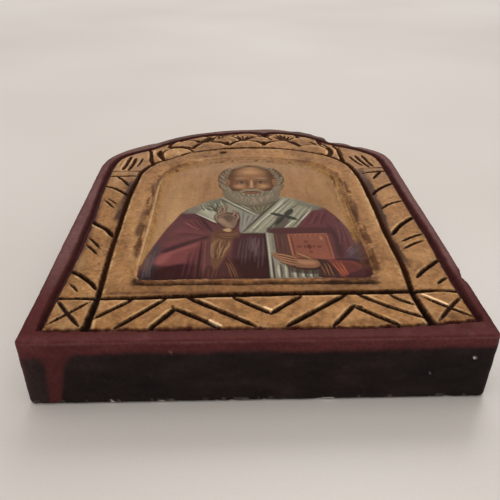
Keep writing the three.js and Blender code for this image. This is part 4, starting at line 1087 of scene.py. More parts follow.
paint, rough, leaf, bare = board_paint(plan_points(board.data))
add_values(board.data, "paint", paint, "COLOR")
add_values(board.data, "gloss", rough)
add_values(board.data, "leaf", leaf)
add_values(board.data, "bare", bare)
board.data.shade_smooth()


# The painted sheet

GROUND = (159, 119, 84)
DUSK, INK = (44, 22, 28), (30, 24, 26)
ROSE, BLUSH = (118, 62, 62), (150, 88, 84)
SLATE, MIST = (70, 58, 62), (122, 100, 102)
PALE, BONE = (138, 132, 112), (180, 176, 154)
GREY, MOSS = (96, 96, 84), (62, 62, 54)
UMBER = (50, 30, 24)


def about(centre, points, side=1):
    """Points given from a centre, or their mirror image for a side of -1."""
    return [(centre[0] + side * px, centre[1] + py) for px, py in points]


def draw(*cells):
    """One repeatable number from 0 to 1."""
    return lattice(*(np.array([v]) for v in cells))[0]


class Painting:
    """Paint on the points of the sheet, laid on in washes, patches and strokes."""

    def __init__(self, x, y):
        self.x, self.y = x, y
        self.rgb = plain(GROUND, len(x))
        self.tone = clouds((x, y), 13.0, 301, 3)
        self.fleck = clouds((x, y), 1.4, 303, 2)
        self.streak = clouds((x, y), (1.6, 16.0), 305, 3)

    def wash(self, mask, shade, within=None):
        if within is not None:
            mask = mask * within
        self.rgb = lay(self.rgb, shade, mask)

    def patch(self, points, shade, strength=1.0, soft=0.3, within=None, curved=True):
        """A filled shape with a soft edge."""
        loop = curve(points, 0.7, True) if curved else np.array(points, float)
        mask = ramp(-soft, soft, depth_in(self.x, self.y, loop, max(2.5, soft * 1.5)))
        if within is not None:
            mask = mask * within
        self.wash(mask * strength, shade)
        return mask

    def brush(self, points, width, shade, strength=1.0, within=None, soft=0.22):
        """A stroke that is thin at both ends."""
        line = np.array(points, float)
        line = curve(line, 0.5) if len(line) > 2 else spaced(line, 0.5)
        share = np.linspace(0, 1, len(line))
        size = 0.3 + 0.7 * np.sin(np.pi * share) ** 0.6
        line = np.column_stack([line[:, :2], size])
        d, _, size, _ = nearest(self.x, self.y, line, width + 1.0)
        mask = ramp(width * size + soft, width * size - soft, d) * strength
        self.wash(mask, shade, within)

    def strands(self, first, last, count, width, shades, strength, within=None, seed=1, soft=0.2,
                sway=0.25):
        """Fine strokes that pass over from one guide line to another."""
        t = np.linspace(0, 1, 9)
        guides = []
        for points in (first, last):
            line = curve(points, 1.0) if len(points) > 2 else spaced(points, 1.0)
            at = np.linspace(0, 1, len(line))
            guides.append(np.stack([np.interp(t, at, column) for column in line.T], -1))
        a, b = guides
        for k in range(count):
            jitter = draw(k, seed, 3)
            start, end = 0.22 * jitter, 1 - 0.22 * draw(k, seed, 5)
            line = a + (b - a) * ((k + 0.25 + 0.5 * jitter) / count)
            line = line + sway * np.stack([noise((t * 3, t * 0 + k), 1.0, seed), 0 * t], -1)
            at = np.linspace(start, end, 9)
            line = np.stack([np.interp(at, t, column) for column in line.T], -1)
            shade = shades[k % len(shades)]
            self.brush(line, width * (0.7 + 0.6 * jitter), shade, strength, within, soft)


def paint_ground(art):
    """Worn gold with upright streaks, and a scratched halo."""
    x, y, tone, fleck, streak = art.x, art.y, art.tone, art.fleck, art.streak
    wash = art.wash
    wash(unit(0.1 + 0.6 * tone + 0.25 * fleck) * 0.5, (128, 90, 56))
    wash(unit(-0.6 * tone + 0.4 * streak) * 0.5, (184, 144, 96))
    wash(unit(streak * 1.6 - 0.1) * 0.45, (116, 80, 50))
    wash(unit(-streak * 1.6 - 0.2) * 0.3, (190, 150, 102))
    wash(unit(fleck * 1.4 - 0.3) * 0.3, (104, 72, 46))
    wash(spot(x, y, -32, 80, 7, 34) * 0.5, (190, 150, 106))
    wash(spot(x, y, 34, 96, 6, 30) * 0.25, (184, 142, 96))
    wash(spot(x, y, 30, 92, 7, 14) * 0.3, (120, 84, 50))
    wash(ramp(116, 140, y) * 0.7, (168, 134, 106))
    halo = np.hypot(x - 0.6, y - 113)
    wash(bell(halo - 27, 0.35) * ramp(0.0, 0.5, noise((x, y), 7.0, 309)) * 0.28, (112, 78, 50))


def paint_robe(art):
    """The robe, and the sleeve of the blessing arm. Returns what the robe covers."""
    tone, fleck = art.tone, art.fleck
    wash, patch, brush, strands = art.wash, art.patch, art.brush, art.strands
    robe_shape = [(-41.6, 30), (-41.5, 42), (-40.1, 52), (-38.1, 60), (-35.2, 70), (-33, 76),
                  (-30.8, 82), (-28.6, 85.8), (-25, 89.6), (-20, 94), (-15, 97), (-8, 99), (6, 99),
                  (14, 98), (20, 95.2), (26, 91.2), (31, 87.8), (33.4, 84), (36, 78), (38.2, 70),
                  (40.4, 63), (42, 56), (43.4, 49), (43.6, 42), (42.6, 30)]
    robe = patch(robe_shape, (94, 54, 55), 1, 0.25)
    wash(robe * unit(0.3 + 0.5 * tone + 0.3 * fleck) * 0.35, (84, 58, 60))
    patch([(-41, 30), (-41, 42), (-39.6, 52), (-37.6, 58), (-36.4, 54), (-37.2, 46), (-36.6, 38),
           (-36, 30)], SLATE, 0.9, 1.3, robe)
    patch([(-41, 30), (-40.8, 38), (-37, 42), (-34, 38), (-32, 30)], INK, 0.75, 2.0, robe)
    patch([(-36.4, 30), (-35.6, 40), (-30, 43.5), (-24, 43), (-20, 41), (-18, 30)], (46, 14, 14),
          0.92, 1.8, robe)
    patch([(-37.4, 44), (-36, 49.4), (-30, 53.4), (-24.4, 57.2), (-20.4, 60), (-20.6, 52),
           (-22.6, 46), (-28, 43.6), (-33, 42.2)], ROSE, 0.85, 1.3, robe)
    patch([(-37.2, 44.6), (-35.6, 49), (-31.4, 51.8), (-32.4, 47), (-34.8, 43.4)], BLUSH, 0.6, 1.5,
          robe)
    strands([(-36, 49.8), (-30, 53.6), (-21, 59.2)], [(-35, 48.6), (-29, 51.6), (-22, 56)], 4, 0.5,
            (BLUSH, ROSE), 0.6, robe, 11, 0.5)
    patch([(-34.4, 51), (-28.4, 55), (-22, 59.6), (-18, 62), (-19, 63.4), (-25, 60.4), (-31, 56.4),
           (-35.4, 53)], DUSK, 0.72, 1.0, robe)
    patch([(-34, 55.6), (-28, 59.4), (-22, 61.8), (-21.6, 63.4), (-28, 62.4), (-34, 59)], ROSE, 0.5,
          1.2, robe)
    patch([(-33, 64.6), (-27, 65.4), (-20.4, 64.4), (-19.6, 66.4), (-26, 69.6), (-30, 71)], ROSE,
          0.5, 1.6, robe)
    brush([(-31.6, 65.2), (-25, 65.2), (-19.4, 63.6)], 0.4, DUSK, 0.6, robe, 0.6)
    strands([(-29.6, 77.4), (-25, 71.4), (-19.4, 66.6)], [(-20.6, 79), (-18.8, 73), (-16.8, 67)], 8,
            0.5, (ROSE, DUSK), 0.6, robe, 13, 0.5)
    brush([(-28.4, 75.4), (-25, 71.6), (-22, 69)], 0.4, BLUSH, 0.6, robe, 0.4)
    brush([(-22.4, 79.4), (-19.4, 73.4), (-16.8, 67.6)], 0.9, DUSK, 0.7, robe, 0.8)
    brush([(-24.8, 82.6), (-20.4, 78.6), (-15.2, 73)], 0.55, DUSK, 0.75, robe, 0.5)
    patch([(-30.6, 82.6), (-25, 83), (-21.4, 79.6), (-24, 77.6), (-29, 78.6)], (74, 42, 46), 0.6,
          1.2, robe)
    strands([(-24.8, 55), (-26, 45), (-26.8, 31)], [(-17.6, 60), (-18.6, 46), (-19.4, 31)], 11,
            0.34, ((100, 50, 52), DUSK, (80, 38, 42)), 0.6, robe, 17, 0.35)
    strands([(-34, 41), (-34.6, 36), (-34.8, 31)], [(-27.6, 42), (-28, 36), (-28.4, 31)], 6, 0.3,
            ((72, 30, 34), DUSK), 0.35, robe, 19, 0.4)
    strands([(-40.4, 50), (-40.8, 42), (-40.6, 31)], [(-37.4, 54), (-38, 44), (-37.6, 33)], 5, 0.3,
            (MIST, SLATE), 0.45, robe, 21, 0.4)
    brush([(-20.5, 60), (-20.9, 46), (-20.8, 31)], 0.5, DUSK, 0.85, robe, 0.4)
    brush([(-18.9, 60), (-19, 46), (-19.2, 31)], 0.42, (128, 76, 66), 0.6, robe, 0.3)

    # Dark middle of the robe, with fine upright folds
    middle = patch([(-6.6, 66), (4.6, 66), (4.6, 30), (-8, 30), (-9, 44), (-8.4, 54)], (62, 32, 36),
                   0.85, 0.9, robe)
    patch([(-9, 30), (-9, 44), (-4, 46.4), (4.6, 47), (4.6, 30)], (46, 16, 16), 0.85, 2.0, robe)
    strands([(-5, 64), (-6.4, 54), (-7.2, 42)], [(4, 65), (3.6, 54), (2.6, 38)], 13, 0.32,
            ((104, 84, 88), DUSK, (96, 72, 76), INK), 0.42, middle, 23, 0.35)
    strands([(-1.6, 64), (-2.2, 58), (-2.8, 51)], [(2.8, 64), (1.8, 57), (0.4, 47)], 4, 0.36,
            ((112, 92, 96), (124, 104, 108)), 0.45, middle, 25, 0.35)

    # Right side of the robe
    patch([(30.6, 72), (31.6, 60), (31, 50), (33, 46), (34.4, 54), (33.4, 66)], DUSK, 0.55, 1.2,
          robe)
    patch([(20, 70), (26, 84), (31, 86.4), (34, 80), (30, 71), (26, 69)], (96, 52, 56), 0.6, 1.2,
          robe)
    strands([(25.6, 84), (22.4, 77), (19.4, 71)], [(33, 84), (31, 77), (29.6, 71)], 9, 0.4,
            (ROSE, DUSK, (84, 44, 50)), 0.55, robe, 27, 0.45)
    strands([(32.6, 82), (35, 70), (33, 54)], [(37, 76), (40.4, 62), (41.6, 50)], 11, 0.42,
            ((118, 78, 78), DUSK, (102, 62, 64)), 0.55, robe, 29, 0.5)
    patch([(33.6, 47), (37, 52), (40.4, 57), (41.4, 50), (40, 44), (36, 44.4)], SLATE, 0.7, 1.4,
          robe)
    strands([(34.6, 50), (38.4, 56.6)], [(36, 47), (40.4, 52)], 5, 0.4, (MIST, SLATE), 0.6, robe,
            31, 0.4)
    patch([(24, 44.4), (34, 45), (41, 43), (43.6, 40), (43, 30), (24, 30)], (62, 28, 32), 0.8, 1.4,
          robe)
    brush([(29.4, 44.8), (36, 45.2), (42, 42.6)], 0.5, DUSK, 0.8, robe, 0.5)

    # Lining of the blessing arm's sleeve, with fine curling folds
    lining = patch([(-15.4, 67.4), (-8.6, 67.6), (-5.4, 64.4), (-8.4, 60.4), (-9.4, 54),
                    (-11.2, 48.6), (-13, 43), (-15, 39.4), (-16.4, 44), (-16.8, 52), (-17, 60)],
                   (104, 70, 50), 1, 0.4)
    strands([(-14.2, 62.6), (-16.4, 56), (-16.2, 44)], [(-10.4, 62), (-9.4, 57), (-12.4, 48)], 13,
            0.26, ((164, 126, 92), (62, 36, 28)), 0.75, lining, 33, 0.22, 0.5)
    patch([(-15, 68), (-8.4, 69.4), (-5, 66), (-6.6, 62), (-11, 61.4), (-15.8, 62.6)], (92, 58, 46),
          0.9, 0.6)
    strands([(-15, 66.6), (-10.4, 65), (-5.6, 66.6)], [(-15.4, 62.8), (-10.4, 61), (-6.6, 62)], 6,
            0.26, ((150, 108, 76), (54, 32, 28)), 0.7, None, 35, 0.25)
    patch([(-19, 30), (-17.6, 42), (-14.6, 38.4), (-12.6, 43), (-10.6, 48), (-8, 44), (-5.6, 30)],
          (66, 34, 32), 0.85, 0.8, robe)
    strands([(-17.2, 42), (-17.6, 36), (-18, 31)], [(-12.4, 43), (-13.4, 36), (-14, 31)], 6, 0.3,
            ((110, 64, 50), DUSK), 0.5, robe, 37, 0.25)
    strands([(-11.6, 45.6), (-10, 39), (-8.6, 31)], [(-9.6, 48), (-7.4, 41), (-5, 31)], 6, 0.24,
            ((144, 96, 68), (44, 22, 22)), 0.6, robe, 39, 0.22)
    return robe


def paint_stole(art, robe):
    """The stole over the shoulders, and its hanging end."""
    patch, brush, strands = art.patch, art.brush, art.strands
    left_stole = patch([(-28, 85.6), (-24.4, 90), (-19, 94.6), (-12, 98.4), (-6, 96), (-1.4, 89),
                        (3, 81), (0.4, 78), (-5, 84), (-9, 80), (-15, 74.6), (-20, 79),
                        (-24.2, 83)], PALE, 1, 0.35)
    patch([(-30, 83.4), (-27.6, 87), (-24.6, 89.6), (-22, 88), (-24, 83.2)], (114, 106, 94), 0.8,
          1.0, robe)
    patch([(-20, 93.4), (-13, 97.6), (-9, 95), (-13, 92), (-18, 90.6)], GREY, 0.7, 1.4, left_stole)
    strands([(-22.6, 91.6), (-20.8, 87), (-18.6, 82)], [(-12, 97), (-10.4, 91), (-9.6, 84)], 12,
            0.34, (BONE, MOSS, GREY), 0.7, left_stole, 41, 0.25)
    patch([(-22, 85), (-17.4, 78.4), (-15.4, 76), (-15.4, 82), (-18, 86)], BONE, 0.5, 1.2,
          left_stole)
    brush([(-23.8, 82.6), (-19.4, 78.8), (-15, 74.4)], 0.3, (206, 200, 180), 0.8, None, 0.25)
    for points in ([(-22.4, 90.8), (-21.2, 88.4), (-20.6, 86)],
                   [(-19.4, 91.4), (-17, 88), (-15.2, 85)],
                   [(-15.2, 92), (-15, 88.6), (-16, 85)],
                   [(-12.6, 90.4), (-13.6, 87), (-14.6, 84.4)],
                   [(-19.8, 87.6), (-17.4, 86), (-15.2, 85.2)]):
        brush(points, 0.55, MOSS, 0.85, left_stole, 0.25)
    brush([(-22, 90.4), (-20.6, 87.6), (-19.8, 85.6)], 0.22, BONE, 0.8, left_stole)
    collar = patch([(-5.4, 86), (-1, 84), (3.6, 81.4), (5.4, 80), (2, 75.4), (-1.4, 70.6),
                    (-4.4, 65.6), (-5.6, 68.6), (-5.2, 77)], (134, 128, 118), 1, 0.5)
    strands([(-5.2, 85), (-4.8, 77), (-4.8, 67.6)], [(3.4, 81), (0.8, 76), (-3, 68.4)], 9, 0.36,
            ((136, 132, 118), MOSS, (150, 144, 130)), 0.7, collar, 43, 0.3)
    for points, shade in (([(-13, 98), (-8.4, 92.4), (-4, 87.6), (1.6, 81.4)], BONE),
                          ([(-11.6, 98), (-7.4, 92.6), (-3, 87.8), (2.4, 81.8)], MOSS),
                          ([(-10.4, 98), (-6.4, 92.8), (-2, 88), (3, 82.4)], BONE),
                          ([(-14.2, 97), (-9.6, 92), (-5.4, 87.4), (0, 81.4)], MOSS)):
        brush(points, 0.42, shade, 0.85, None, 0.22)
    neck = patch([(-4, 91.6), (6, 92), (10, 90.6), (6.4, 85), (4.4, 81.4), (2.6, 82), (-1.6, 87.4)],
                 (108, 96, 76), 1, 0.5)
    strands([(-2, 91), (0, 87), (2.4, 82.6)], [(9, 91), (6.6, 87), (4.2, 82.4)], 8, 0.3,
            (MOSS, (140, 130, 104)), 0.6, neck, 45, 0.25)
    right_stole = patch([(12.6, 98.6), (17, 97.6), (20.6, 95.6), (26, 91.6), (30.8, 88),
                         (27.6, 85.4), (25.8, 85), (22.4, 79), (20, 75), (17.6, 69.6), (9, 69.8),
                         (6.2, 65.8), (4.6, 65.2), (-4.4, 65.4), (1, 75.4), (5.4, 83), (9.4, 91)],
                        PALE, 1, 0.3, curved=False)
    patch([(20, 95.4), (26, 91.4), (30.4, 88), (27, 85.6), (23, 88), (20, 92)], GREY, 0.6, 1.6,
          right_stole)
    patch([(24, 89), (29.6, 88.4), (31.6, 86.4), (27, 85.2)], (106, 98, 86), 0.7, 1.0, robe)
    strands([(15, 97), (8, 84), (-3, 66)], [(16.6, 97), (9, 83), (-1, 66)], 3, 0.5,
            (BONE, (198, 194, 172)), 0.7, right_stole, 47, 0.25)
    strands([(18, 96.4), (10.6, 84), (0.6, 66)], [(22, 94), (14, 80), (5, 66)], 7, 0.4,
            (BONE, PALE, GREY), 0.6, right_stole, 49, 0.25)
    strands([(23, 92), (19, 84), (14, 74)], [(27, 88), (24, 82), (19.4, 72)], 7, 0.36,
            (BONE, GREY, PALE), 0.6, right_stole, 51, 0.25)
    brush([(13.4, 97.4), (9, 89.6), (4.4, 82), (0, 74), (-4.4, 66)], 0.6, MOSS, 0.95, None, 0.3)
    brush([(17.8, 97), (13, 89.4), (8.8, 82.6), (3.6, 74.4), (-0.4, 66)], 0.32, MOSS, 0.95,
          right_stole)
    brush([(20.8, 91.4), (18.6, 88.4), (16.6, 85.4)], 0.3, MOSS, 0.9, right_stole)
    brush([(11.4, 78.6), (8.6, 73), (5, 66)], 0.4, MOSS, 0.95, right_stole)
    brush([(25.6, 84.6), (22.2, 78.8), (18.6, 72)], 0.4, (204, 198, 178), 0.9, right_stole)
    brush([(24.4, 85), (21, 79), (17.4, 72.6), (15.4, 69.8)], 0.32, MOSS, 0.85, right_stole)
    brush([(17.4, 76.4), (15, 72.8), (13, 69.8)], 0.34, (204, 198, 178), 0.9, right_stole)
    brush([(16.4, 76), (14, 72.4), (12, 69.8)], 0.3, MOSS, 0.85, right_stole)
    patch([(10.6, 79.6), (13.6, 80.2), (16, 77.6), (14.4, 73.4), (12.4, 69.8), (8.4, 69.8)],
          (82, 72, 64), 0.9, 0.6, right_stole)
    for points, width in (([(17.4, 86.2), (15.8, 83), (14, 79.8)], 1.5),
                          ([(13.4, 79.6), (11.4, 75.8), (9.6, 72.4)], 1.0),
                          ([(8, 82.6), (10.4, 81.4), (13.4, 80)], 1.2),
                          ([(13.6, 80.2), (16, 78.6), (18.6, 76.6)], 1.25)):
        brush(points, width, (44, 46, 42), 0.95, right_stole, 0.3)
    brush([(-4.2, 65.3), (0, 65.6), (5, 65.2)], 0.35, INK, 0.7)

    # Hanging end of the stole
    patch([(5.6, 69.8), (9.2, 70), (9, 66), (6.2, 65)], MOSS, 0.7, 0.5)
    hanging = patch([(4.9, 65.8), (7.9, 65.4), (8, 50), (9.4, 46), (13, 40), (22.6, 38.8),
                     (22.8, 30), (4.9, 30)], (136, 129, 112), 1, 0.25, curved=False)
    brush([(4.4, 66), (4.5, 48), (4.5, 30)], 0.42, INK, 0.95)
    brush([(5.5, 65), (5.6, 48), (5.6, 30)], 0.32, (184, 178, 160), 0.85)
    brush([(7.4, 64.6), (7.3, 57), (7.2, 50.4)], 0.3, GREY, 0.7)
    brush([(6.3, 48.4), (6.4, 40), (6.4, 30)], 0.4, INK, 0.9)
    strands([(7.6, 45), (7.6, 38), (7.6, 30)], [(22, 39), (22, 35), (22, 30)], 15, 0.34,
            ((190, 182, 162), INK, GREY), 0.85, hanging, 53, 0.22, 0.1)
    patch([(9.4, 45), (12, 39.6), (13.6, 36.8), (23, 35.8), (23, 42), (12, 47)], (52, 38, 32), 0.85,
          0.8, hanging)


def paint_book(art):
    """The book, with a plain ornament on its cover."""
    x, y, tone, fleck = art.x, art.y, art.tone, art.fleck
    wash, patch, brush, strands = art.wash, art.patch, art.brush, art.strands
    patch([(8.1, 66.4), (13.4, 66.4), (13.8, 48), (8.2, 50.2)], (84, 54, 48), 1, 0.35, curved=False)
    patch([(8.2, 69.4), (29.8, 69.4), (30.4, 64.4), (8.2, 65)], (74, 42, 42), 0.85, 0.8)
    strands([(9, 65), (9, 51)], [(13, 65), (13.2, 50)], 5, 0.22, ((108, 74, 62), (60, 36, 34)), 0.6,
            None, 55)
    board = [(13.5, 64.6), (29.6, 65), (29.8, 45.4), (22, 45.2), (14.2, 47.4)]
    cover = patch(board, (130, 78, 62), 1, 0.3, curved=False)
    wash(cover * unit(0.35 + 0.8 * tone + 0.5 * fleck) * 0.4, (118, 64, 54))
    wash(cover * ramp(58, 47, y) * 0.35, (150, 86, 68))
    brush([(13.7, 64.2), (14, 56), (14.3, 48)], 0.3, (184, 122, 84), 0.85, cover)
    brush([(14.7, 63.6), (15, 56), (15.2, 47.6)], 0.24, (62, 26, 24), 0.8, cover)
    for k in range(13):
        bx = 15.4 + k
        brush([(bx, 63.2), (bx + 0.55, 63.2)], 0.3, (176, 116, 78) if k % 2 else (70, 32, 28), 0.75,
              cover, 0.16)
    brush([(28.6, 63.6), (28.7, 55), (28.8, 46)], 0.22, (80, 34, 30), 0.7, cover)
    brush([(29.4, 64), (29.5, 55), (29.6, 46)], 0.22, (172, 104, 76), 0.6, cover)
    brush([(15, 64.3), (22, 64.6), (29, 64.7)], 0.26, (168, 104, 74), 0.6, cover)
    jewel = np.abs(x - 21.3) / 1.1 + np.abs(y - 54.6) / 2.3
    wash(ramp(1.15, 0.85, jewel) * 0.75 * cover, (70, 30, 26))
    for ox, oy, wide, high in ((17.4, 54.6, 1.1, 0.9), (25.2, 54.6, 1.1, 0.9),
                               (20.4, 58.4, 0.8, 0.9), (21.6, 50.8, 0.8, 0.9),
                               (19.6, 54.6, 0.4, 1.4), (23, 54.6, 0.4, 1.4)):
        wash(ramp(1.2, 0.7, np.hypot((x - ox) / wide, (y - oy) / high)) * 0.6 * cover, (78, 34, 30))
    brush([(26.4, 62.4), (26.8, 61), (26.6, 59.6)], 0.4, (196, 138, 112), 0.5, cover, 0.4)


def paint_hands(art):
    """The hand that holds the book, and the blessing hand."""
    patch, brush, strands = art.patch, art.brush, art.strands
    # Sleeve and hand under the book
    sleeve = patch([(26.8, 44.8), (31, 44.6), (36, 43.8), (38.6, 41.8), (38.8, 39.6), (36.4, 37.4),
                    (33.4, 36), (31.8, 33), (29.4, 33), (29.4, 38)], (114, 58, 48), 1, 0.6)
    patch([(32.4, 43), (36.4, 42.2), (38.4, 39), (35, 36.6), (33, 36)], (86, 42, 40), 0.7, 1.3,
          sleeve)
    strands([(27.6, 44.2), (29.6, 39), (31.4, 33)], [(31.6, 44), (32.4, 39), (33.6, 33.6)], 5, 0.34,
            ((176, 98, 70), (84, 34, 30)), 0.7, sleeve, 57, 0.3)
    cuff = patch([(21.6, 45), (26.4, 45), (28.6, 40), (29.6, 33), (22.4, 33), (22.8, 39)],
                 (66, 40, 34), 1, 0.4)
    strands([(23.4, 44.4), (24, 40), (24.4, 33)], [(26.8, 44.4), (28, 39), (29, 33)], 6, 0.26,
            ((136, 92, 64), (40, 22, 20)), 0.75, cuff, 59)
    skin, light = (132, 90, 66), (178, 130, 96)
    patch([(8, 47.4), (12, 44), (14, 40.4), (17.6, 38.6), (22.4, 38.4), (24, 41), (23.4, 45.4),
           (15, 46.6)], UMBER, 0.9, 0.6)
    patch([(14.4, 46.2), (18, 45.6), (22.6, 45.2), (23.8, 42), (22, 39.8), (17.6, 39.8),
           (14.4, 41)], skin, 1, 0.35)
    patch([(15.4, 45), (19.6, 44.6), (22.4, 43.6), (21.4, 42), (17, 42.4)], light, 0.6, 0.9)
    for finger in ([(6.2, 50), (10.6, 48.7), (15.6, 46.4)],
                   [(6.5, 48.8), (10.4, 46.9), (15.2, 44.8)],
                   [(7.4, 47.2), (10.6, 45.2), (15, 43.2)],
                   [(9, 44.9), (11.6, 43), (15.4, 41.4)]):
        brush(finger, 1.0, UMBER, 0.9)
        brush(finger, 0.68, skin, 1.0)
        brush([(px, py + 0.25) for px, py in finger], 0.26, light, 0.8)
    brush([(15.4, 50.4), (18.4, 47.8), (22, 45.2)], 1.0, UMBER, 0.8)
    brush([(15.6, 50.2), (18.6, 47.6), (21.8, 45.2)], 0.72, skin, 1.0)
    brush([(15.8, 50.4), (18.2, 48.4), (20.6, 46.6)], 0.28, light, 0.85)
    brush([(12.4, 40.6), (17, 39), (23, 38.8)], 0.4, UMBER, 0.85)

    # Blessing hand
    skin, light = (122, 96, 78), (160, 132, 108)
    patch([(-16.2, 78), (-14.6, 82.8), (-10, 83.6), (-6, 81.6), (-5.4, 76), (-7, 70.4), (-9, 68.4),
           (-12.4, 70.6)], UMBER, 0.85, 0.5)
    patch([(-15.6, 78), (-14.2, 81.8), (-10.4, 82.4), (-7, 80.4), (-6.4, 76), (-7.4, 71),
           (-9.4, 69), (-12.4, 71.6)], skin, 1, 0.35)
    patch([(-12.6, 80), (-9.6, 81.4), (-7.8, 79), (-9, 75.6), (-11.8, 76.4)], UMBER, 0.5, 1.1)
    patch([(-14.6, 77), (-12.4, 78.4), (-11, 75.6), (-9, 72.6), (-8.4, 70.6), (-10.6, 71)], light,
          0.6, 0.8)
    for finger, width in (([(-14, 81.4), (-14.2, 85), (-13, 89)], 0.62),
                          ([(-12, 82.2), (-11.9, 86), (-10.9, 90.2)], 0.62),
                          ([(-8.4, 80.6), (-7.4, 83.4), (-8.2, 85.4)], 0.6),
                          ([(-7, 76), (-6, 79.4), (-6.7, 82.8)], 0.55),
                          ([(-15, 77.4), (-15.2, 80.8), (-12, 83.6), (-10, 83.8)], 0.6)):
        brush(finger, width + 0.32, UMBER, 0.9)
        brush(finger, width, skin, 1.0)
        brush(finger, width * 0.42, light, 0.85)
    strands([(-12.6, 71.4), (-10.4, 69.8), (-8, 70.4)], [(-13.4, 76), (-11, 75), (-8, 76.4)], 3,
            0.18, (UMBER,), 0.45, None, 61)
    patch([(-12.4, 68.6), (-10, 69.6), (-8.8, 67.8), (-10.4, 66.8)], (196, 160, 116), 0.8, 0.5)


